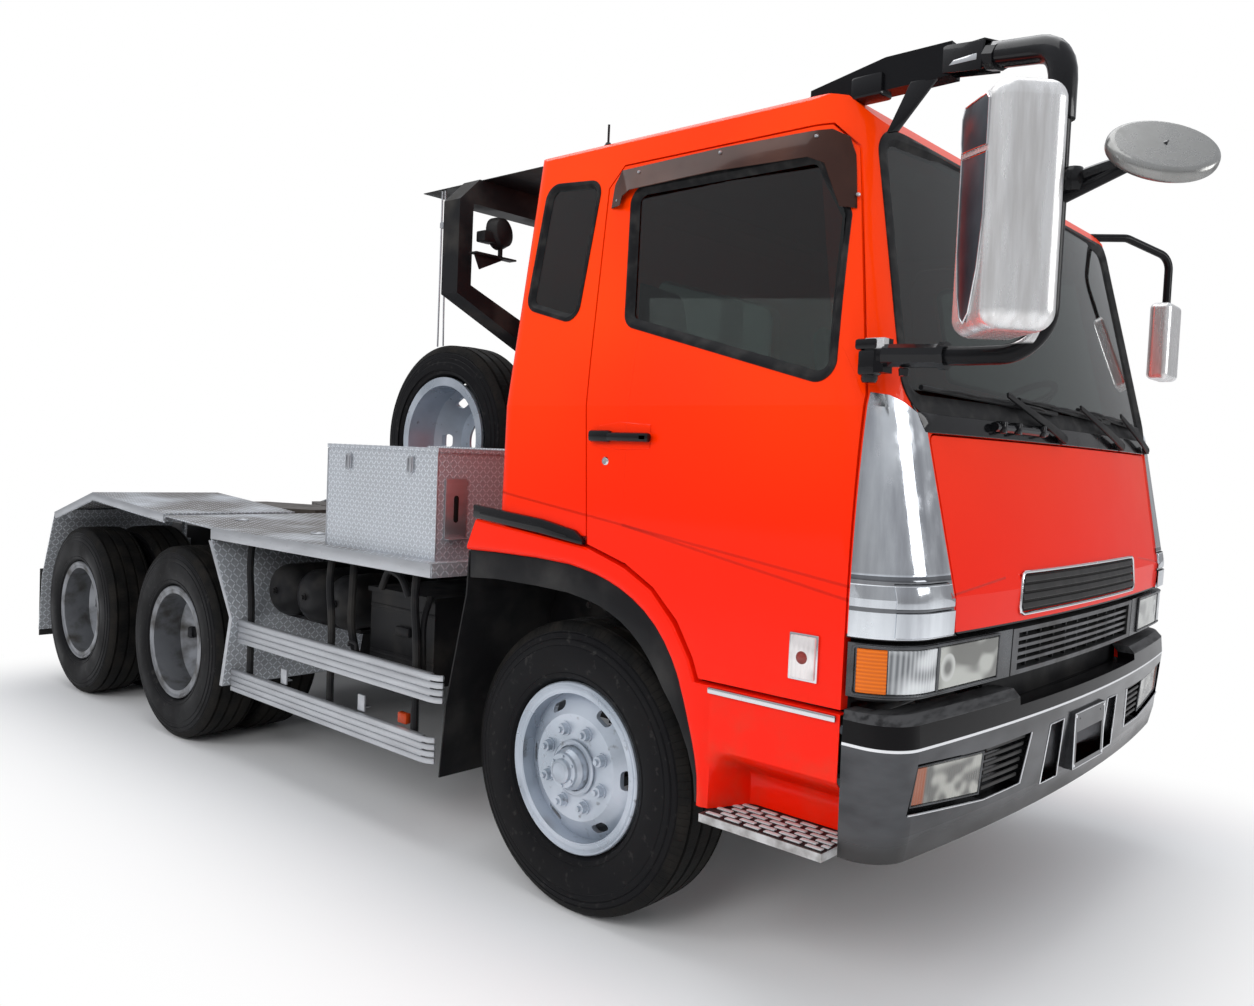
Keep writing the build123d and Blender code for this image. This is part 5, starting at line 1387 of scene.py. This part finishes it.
# the fog lens is painted in light and dark patches, painted reflections of the lamp inside; its
# amber end is its own colour
shade = fog_glass.noise(11, 0, (1.6, 1, 2.2)).between(0.36, 0.66)
fog_tone = fog_glass.mix(shade, (0.44, 0.44, 0.40, 1), (0.13, 0.13, 0.12, 1))
amber_part = fog_glass.along("X").apply("ABSOLUTE").between(1.070, 1.084)
fog_glass.colour(amber_part * 0.9, fog_tone, (0.34, 0.07, 0.010, 1))
fog_glass.bump(fog_glass.ripple("X", 480), 0.0010, 0.5)
above_pocket, bumper_rake = 0.835, 0.084


def pocket_y(x, z, back):
    """A depth in the bumper's pocket, measured in from its rounded face."""
    outer = on_skin("bumper", 1, -1, x, above_pocket)
    return outer.y + (above_pocket - z) * bumper_rake + back


def pocket_sheet(corners, back, thickness):
    """A flat-ish sheet in a pocket from four corners given as (x, z)."""
    low_in, low_out, high_out, high_in = corners
    low = [part_way(low_in, low_out, k, 8) for k in range(9)]
    high = [part_way(high_in, high_out, k, 8) for k in range(9)]
    flat = [[part_way(p, q, row, 3) for p, q in zip(low, high)] for row in range(4)]
    rows = [[Vector((x, pocket_y(x, z, back), z)) for x, z in row] for row in flat]
    return sheet(rows, thickness, 0.002)


def pocket_line(side, corners, back, radius, closed=True):
    """A round bead along a line in a pocket, its corners given as (out, z)."""
    line = [Vector((side * x, pocket_y(side * x, z, back), z))
            for x, z in spaced(corners, 0.03, closed)]
    return tube(line, radius, closed=closed)


for side, word in both_sides:
    fog = pocket_sheet([(side * 0.775, 0.668), (side * 1.135, 0.700), (side * 1.122, 0.802),
                        (side * 0.775, 0.786)], 0.012, 0.006)
    fitted(fog, f"fog_lens_{word}", fog_glass, "chassis")
    fog_edge = pocket_line(side, [(0.772, 0.664), (1.138, 0.697), (1.126, 0.806),
                                  (0.772, 0.790)], 0.010, 0.0035)
    fitted(fog_edge, f"fog_rim_{word}", surround, "chassis")
    slats = []
    for row in range(6):
        z = 0.668 + row * 0.0235
        inner_x = 0.522 - 0.034 * (z - 0.65) / 0.15 + 0.004
        slats.append(pocket_sheet([(side * inner_x, z), (side * 0.752, z),
                                   (side * 0.752, z + 0.012), (side * inner_x, z + 0.012)],
                                  0.014, 0.006))
    fitted(joined(slats), f"vent_slats_{word}", slat_black, "chassis")
    pocket_edge = pocket_line(side, [(0.480, 0.803), (0.519, 0.648), (0.757, 0.645),
                                     (1.158, 0.680)], -0.0005, 0.0030, False)
    fitted(pocket_edge, f"pocket_edge_{word}", bright, "chassis")
    slot_edge = pocket_line(side, [(0.224, 0.806), (0.336, 0.803), (0.356, 0.612),
                                   (0.220, 0.612)], -0.0005, 0.0026)
    fitted(slot_edge, f"slot_edge_{word}", bright, "chassis")
plate_frame = [(-0.150, 0.624), (0.150, 0.624), (0.150, 0.810), (-0.150, 0.810)]
face_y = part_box("bumper")[0].y + 0.001
edges = [tube([Vector((x, face_y, z)) for x, z in spaced(plate_frame, 0.05)], 0.0028,
              closed=True)]
for x in (-0.14, 0.14):
    for z in (0.634, 0.800):
        edges.append(spun([(0, 0.004), (0.005, 0.004), (0.006, 0), (0, -0.002)],
                          (x, face_y + 0.001, z), (0, -1, 0), 12))
fitted(joined(edges), "plate_frame_edge", bright, "chassis")

# Tread below each door: bright worn pads, long and staggered, stand on its dark top.
bright_pad = Finish("worn_pad", (0.6, 0.6, 0.6), 0.35, 0.1)
bright_pad.colour(bright_pad.noise(30, 4), (0.72, 0.75, 0.76, 1), (0.40, 0.42, 0.42, 1))
bright_pad.feed("Roughness", 0.28 + 0.2 * bright_pad.noise(60, 3))
pad_rows, pad_pitch, pad_wide, pad_long = 6, (0.0275, 0.068), 0.017, 0.052
tread_front, tread_back, shortest_pad = -1.066 + shift, -0.662 + shift, 0.012
for side, word in both_sides:
    pads = []
    for row in range(pad_rows):
        for column in range(pad_rows):
            x = 1.270 - row * pad_pitch[0]
            y = -1.060 + shift + column * pad_pitch[1] - (pad_pitch[1] / 2 if row % 2 else 0)
            start, end = max(y, tread_front), min(y + pad_long, tread_back)
            if end - start > shortest_pad:
                pads.append(bar(side, x, x - pad_wide, (start, 0.5590), (end, 0.5635), 0.0018))
    fitted(joined(pads), f"step_pads_{word}", bright_pad, "chassis")
    web = bar(side, 1.276, 1.04, (tread_front, 0.5586), (-0.660 + shift, 0.5602), 0.0004)
    fitted(web, f"step_web_{word}", frame_black, "chassis")

# ---------------------------------------------------------------- mirrors
# A looped black arm from the roof bracket to the corner hinge carries a tall brushed metal
# head with two dark panels and, on a ball joint, a round kerb mirror.
mirror_metal = Finish("mirror_metal", (0.42, 0.42, 0.42), 0.28, 1.0)
spot_x, spot_z = mirror_metal.along("X"), mirror_metal.along("Z")
spot_y = mirror_metal.along("Y")
on_head = (spot_x < -1.215) * spot_z.between(1.905, 1.912)
disc_way = Vector((-0.55, -0.42, 0.72)).normalized()
disc_back = disc_way.dot(Vector((-1.200, -1.7753 + shift, 2.318))) - 0.019
round_one = ((spot_y < -3.195)
             * (disc_way.x * spot_x + disc_way.y * spot_y + disc_way.z * spot_z > disc_back))
far_one = (spot_x > 1.27) * (1 - (spot_z > 2.3825))
shell = on_head.apply("MAXIMUM", round_one).apply("MAXIMUM", far_one)
brush = mirror_metal.noise(6, 5, (6, 6, 0.6)).between(0.3, 0.75)
polish = mirror_metal.mix(brush, (0.90, 0.90, 0.90, 1), (0.62, 0.61, 0.60, 1))
polish = mirror_metal.mix(round_one * 0.9, polish, (0.24, 0.24, 0.23, 1))
mirror_metal.colour(shell, (0.006, 0.006, 0.007, 1), polish)
mirror_metal.feed("Metallic", 0.75 * shell)
mirror_metal.feed("Roughness", 0.22 + 0.16 * brush * shell)
mirror_metal.bump(mirror_metal.noise(180, 2), 0.0002, 0.3)
wear(mirror_metal, "mirrors")

# the head's centre, from its outermost reach and its size with round edges
head_turn, head_edge, head_reach = math.radians(45), 0.045, 1.475
half_wide, half_deep, head_z = 0.120, 0.085, 2.185
reach_in = ((half_wide - head_edge) * math.cos(head_turn)
            + (half_deep - head_edge) * math.sin(head_turn) + head_edge)
head_middle = Vector((reach_in - head_reach, -1.500 + shift, head_z))
wide_way = Vector((math.cos(head_turn), math.sin(head_turn), 0))
back_way = Vector((-math.sin(head_turn), math.cos(head_turn), 0))


def on_head_face(u, z, proud):
    """A point on the head's rear face: across it, and at a height."""
    return head_middle + wide_way * u + back_way * (half_deep + proud) + Vector((0, 0, z - head_z))


# The mirror glass is painted dark with lighter patches: a painted reflection of what it shows.
panel_dark = Finish("panel_dark", (0.022, 0.025, 0.032), 0.3, 0.3)
panel_dark.colour(panel_dark.noise(5, 4).between(0.35, 0.7), (0.020, 0.023, 0.030, 1),
                  (0.055, 0.060, 0.070, 1))
panel_dark.feed("Roughness", 0.22 + 0.2 * panel_dark.noise(22, 4))
upper_pane = [(-0.076, 2.315), (0.070, 2.335), (0.076, 2.36), (0.076, 2.415), (0.062, 2.437),
              (-0.060, 2.430), (-0.076, 2.415)]
lower_pane = [(-0.076, 2.300), (0.070, 2.320), (0.066, 2.10), (0.050, 2.00), (0.030, 1.95),
              (0.010, 1.935), (-0.020, 1.955), (-0.055, 2.05), (-0.076, 2.16)]
for name, pane in (("upper", upper_pane), ("lower", lower_pane)):
    fitted(plate_of([on_head_face(u, z, 0.0005) for u, z in pane], 0.004, 0.001),
           f"mirror_pane_{name}", panel_dark, "cab")
    fitted(tube([on_head_face(u, z, 0.002) for u, z in spaced(pane, 0.03)], 0.0022,
                closed=True), f"mirror_pane_{name}_edge", bright, "cab")

# Roof bracket: pressed cover with side plates, a bright slot and a stay to the screen pillar.
arm_root = Vector((-1.010, -1.185 + shift, 2.697))
arm_out = Vector((-1.150, -1.455 + shift, 2.628))
along_arm = (arm_out - arm_root).normalized()
side_arm = along_arm.cross(Vector((0, 0, 1))).normalized()


def on_arm(along, out, rise):
    """A point by the mirror arm: along it from its root, out to its side, and up."""
    return arm_root + along_arm * along + side_arm * out + Vector((0, 0, rise))


cover = [plate_of([on_arm(-0.10, out, 0.020), on_arm(-0.10, out, -0.030),
                   on_arm(0.16, out, -0.038), on_arm(0.17, out, 0.036),
                   on_arm(0.02, out, 0.040)], 0.006) for out in (-0.030, 0.030)]
cover.append(plate_of([on_arm(-0.10, -0.032, 0.021), on_arm(0.17, -0.032, 0.038),
                       on_arm(0.17, 0.032, 0.038), on_arm(-0.10, 0.032, 0.021)], 0.006))
cover.append(tube([on_arm(0.165, 0, -0.001), on_arm(0.205, 0, -0.004)], 0.036))
cover.append(tube([on_arm(0.18, 0, 0), (-1.190, -1.548 + shift, 2.600),
                   (-1.190, -1.548 + shift, 2.43)], 0.033, 0.13, sides=5))
cover.append(plate_of([(-1.032, -1.16 + shift, 2.66), (-1.040, -1.05 + shift, 2.53),
                       (-1.046, -1.02 + shift, 2.53), (-1.036, -1.08 + shift, 2.66)], 0.012,
                      0.003))
cover.append(block((-1.055, -1.00 + shift, 2.640), (-0.985, -0.90 + shift, 2.705), 0.010))
cover.append(block((-1.035, -0.80 + shift, 2.640), (-0.985, -0.745 + shift, 2.690), 0.010))
fitted(joined(cover), "mirror_bracket_cover", gloss_black, "cab")
slot_line = [on_arm(0.03, 0.0335, -0.016), on_arm(0.145, 0.0335, -0.012),
             on_arm(0.145, 0.0335, 0.004), on_arm(0.05, 0.0335, -0.004)]
fitted(plate_of(slot_line, 0.002, 0.0005), "mirror_bracket_slot", bright, "cab")

# Lower arm: a clamped sleeve into the hinge block on the screen pillar.
low_a = Vector((-1.2215, -1.145 + shift, 1.889))
low_b = Vector((-1.2165, -1.300 + shift, 1.884))
sleeve = [tube([low_a, low_b], 0.031), tube([low_b + Vector((0, 0.004, 0)),
                                            low_b + Vector((0, -0.014, 0))], 0.036)]
sleeve.append(block((-1.245, -1.130 + shift, 1.905), (-1.155, -1.065 + shift, 1.935), 0.008))
sleeve.append(block((-1.243, -1.125 + shift, 1.838), (-1.195, -1.075 + shift, 1.905), 0.008))
sleeve.append(spun([(0, 0.018), (0.012, 0.018), (0.014, 0), (0, -0.004)],
                   (-1.222, -1.20 + shift, 1.853), (0, 0, -1), 16))
sleeve.append(spun([(0, 0.012), (0.018, 0.012), (0.022, 0.004), (0.022, -0.02), (0, -0.02)],
                   (-1.218, -1.10 + shift, 1.832), (0, 0, -1), 20))
fitted(joined(sleeve), "mirror_hinge_block", gloss_black, "cab")

# Ball joint and bent stalk of the kerb mirror, with a clamp strap.
ball = Vector((-1.190, -1.585 + shift, 2.285))
kerb = [spun([(0, 0.034), (0.020, 0.028), (0.032, 0.012), (0.034, -0.01), (0.026, -0.028),
              (0, -0.034)], tuple(ball), (0, 0, 1), 24),
        tube([ball, ball + Vector((-0.002, -0.05, 0.012)),
              ball + Vector((0.0, -0.12, 0.026)), (-1.197, -1.79 + shift, 2.325)], 0.0165,
             0.04)]
fitted(joined(kerb), "kerb_mirror_stalk", gloss_black, "cab")

# ---------------------------------------------------------------- inside the cab
# Cloth-covered foam seats on their boxes, a moulded dashboard and a hard steering wheel.
seat_cloth = Finish("seat_cloth", (0.05, 0.052, 0.06), 0.9, Sheen_Weight=0.3)
thread = (seat_cloth.along("X") * 1500).apply("SINE") * (seat_cloth.along("Y")
                                                        * 1500).apply("SINE")
seat_cloth.colour(seat_cloth.noise(6, 4), (0.040, 0.042, 0.050, 1), (0.075, 0.078, 0.088, 1))
seat_cloth.bump(thread, 0.0008, 0.6)
seat_base = Finish("seat_base", (0.02, 0.02, 0.022), 0.5)
seat_base.colour(seat_base.noise(20, 4), (0.016, 0.016, 0.018, 1), (0.04, 0.04, 0.042, 1))


def cushion(name, low, high, tip):
    """A crowned foam cushion: a box swelled, its edges drawn in, tipped back about its foot."""
    middle = [(a + b) / 2 for a, b in zip(low, high)]
    piece = cube(low, high)
    bpy.ops.object.transform_apply(location=True)
    bpy.ops.object.mode_set(mode="EDIT")
    bpy.ops.mesh.select_all(action="SELECT")
    bpy.ops.mesh.subdivide(number_cuts=7)
    bpy.ops.object.mode_set(mode="OBJECT")
    half = [(b - a) / 2 for a, b in zip(low, high)]
    for vertex in piece.data.vertices:
        away = [(vertex.co[i] - middle[i]) / half[i] for i in range(3)]
        for i in range(3):
            others = [abs(away[k]) for k in range(3) if k != i]
            drawn = 1 - 0.10 * (others[0] ** 2 + others[1] ** 2) / 2
            seam = 0.985 if abs(abs(away[0]) - 0.5) < 0.05 and i == 2 else 1.0
            vertex.co[i] = middle[i] + away[i] * half[i] * drawn * seam
    smooth = piece.modifiers.new("smooth", "SUBSURF")
    smooth.levels = smooth.render_levels = 2
    bpy.ops.object.modifier_apply(modifier="smooth")
    if tip:
        foot = Vector((middle[0], middle[1], low[2]))
        piece.data.transform(Matrix.Translation(foot) @ Matrix.Rotation(tip, 4, "X")
                             @ Matrix.Translation(-foot))
    piece = fitted(piece, name, seat_cloth, "cab")
    bpy.ops.object.shade_smooth()
    return piece


for side, word in both_sides:
    xs = sorted((side * 0.495, side * 0.985))
    seat = cushion(f"seat_cushion_{word}", (xs[0], -1.98, 1.545), (xs[1], -1.49, 1.668), 0)
    cushion(f"seat_back_{word}", (xs[0] + 0.012, -1.545, 1.672),
            (xs[1] - 0.012, -1.465, 2.260), math.radians(-10))
    base = bar(side, 0.555, 0.925, (-1.925, 1.296), (-1.55, 1.540), 0.015)
    fitted(base, f"seat_base_{word}", seat_base, "cab")
    if side < 0:
        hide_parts("seats")
gauges = []
for x in (0.56, 0.69, 0.82):
    gauges.append(spun([(0, 0.004), (0.038, 0.004), (0.044, 0.010), (0.050, 0.0),
                        (0, -0.004)], (x, -2.425, 1.700), (0, 0.8, 0.6), 28))
fitted(joined(gauges), "gauges", slat_black, "cab")
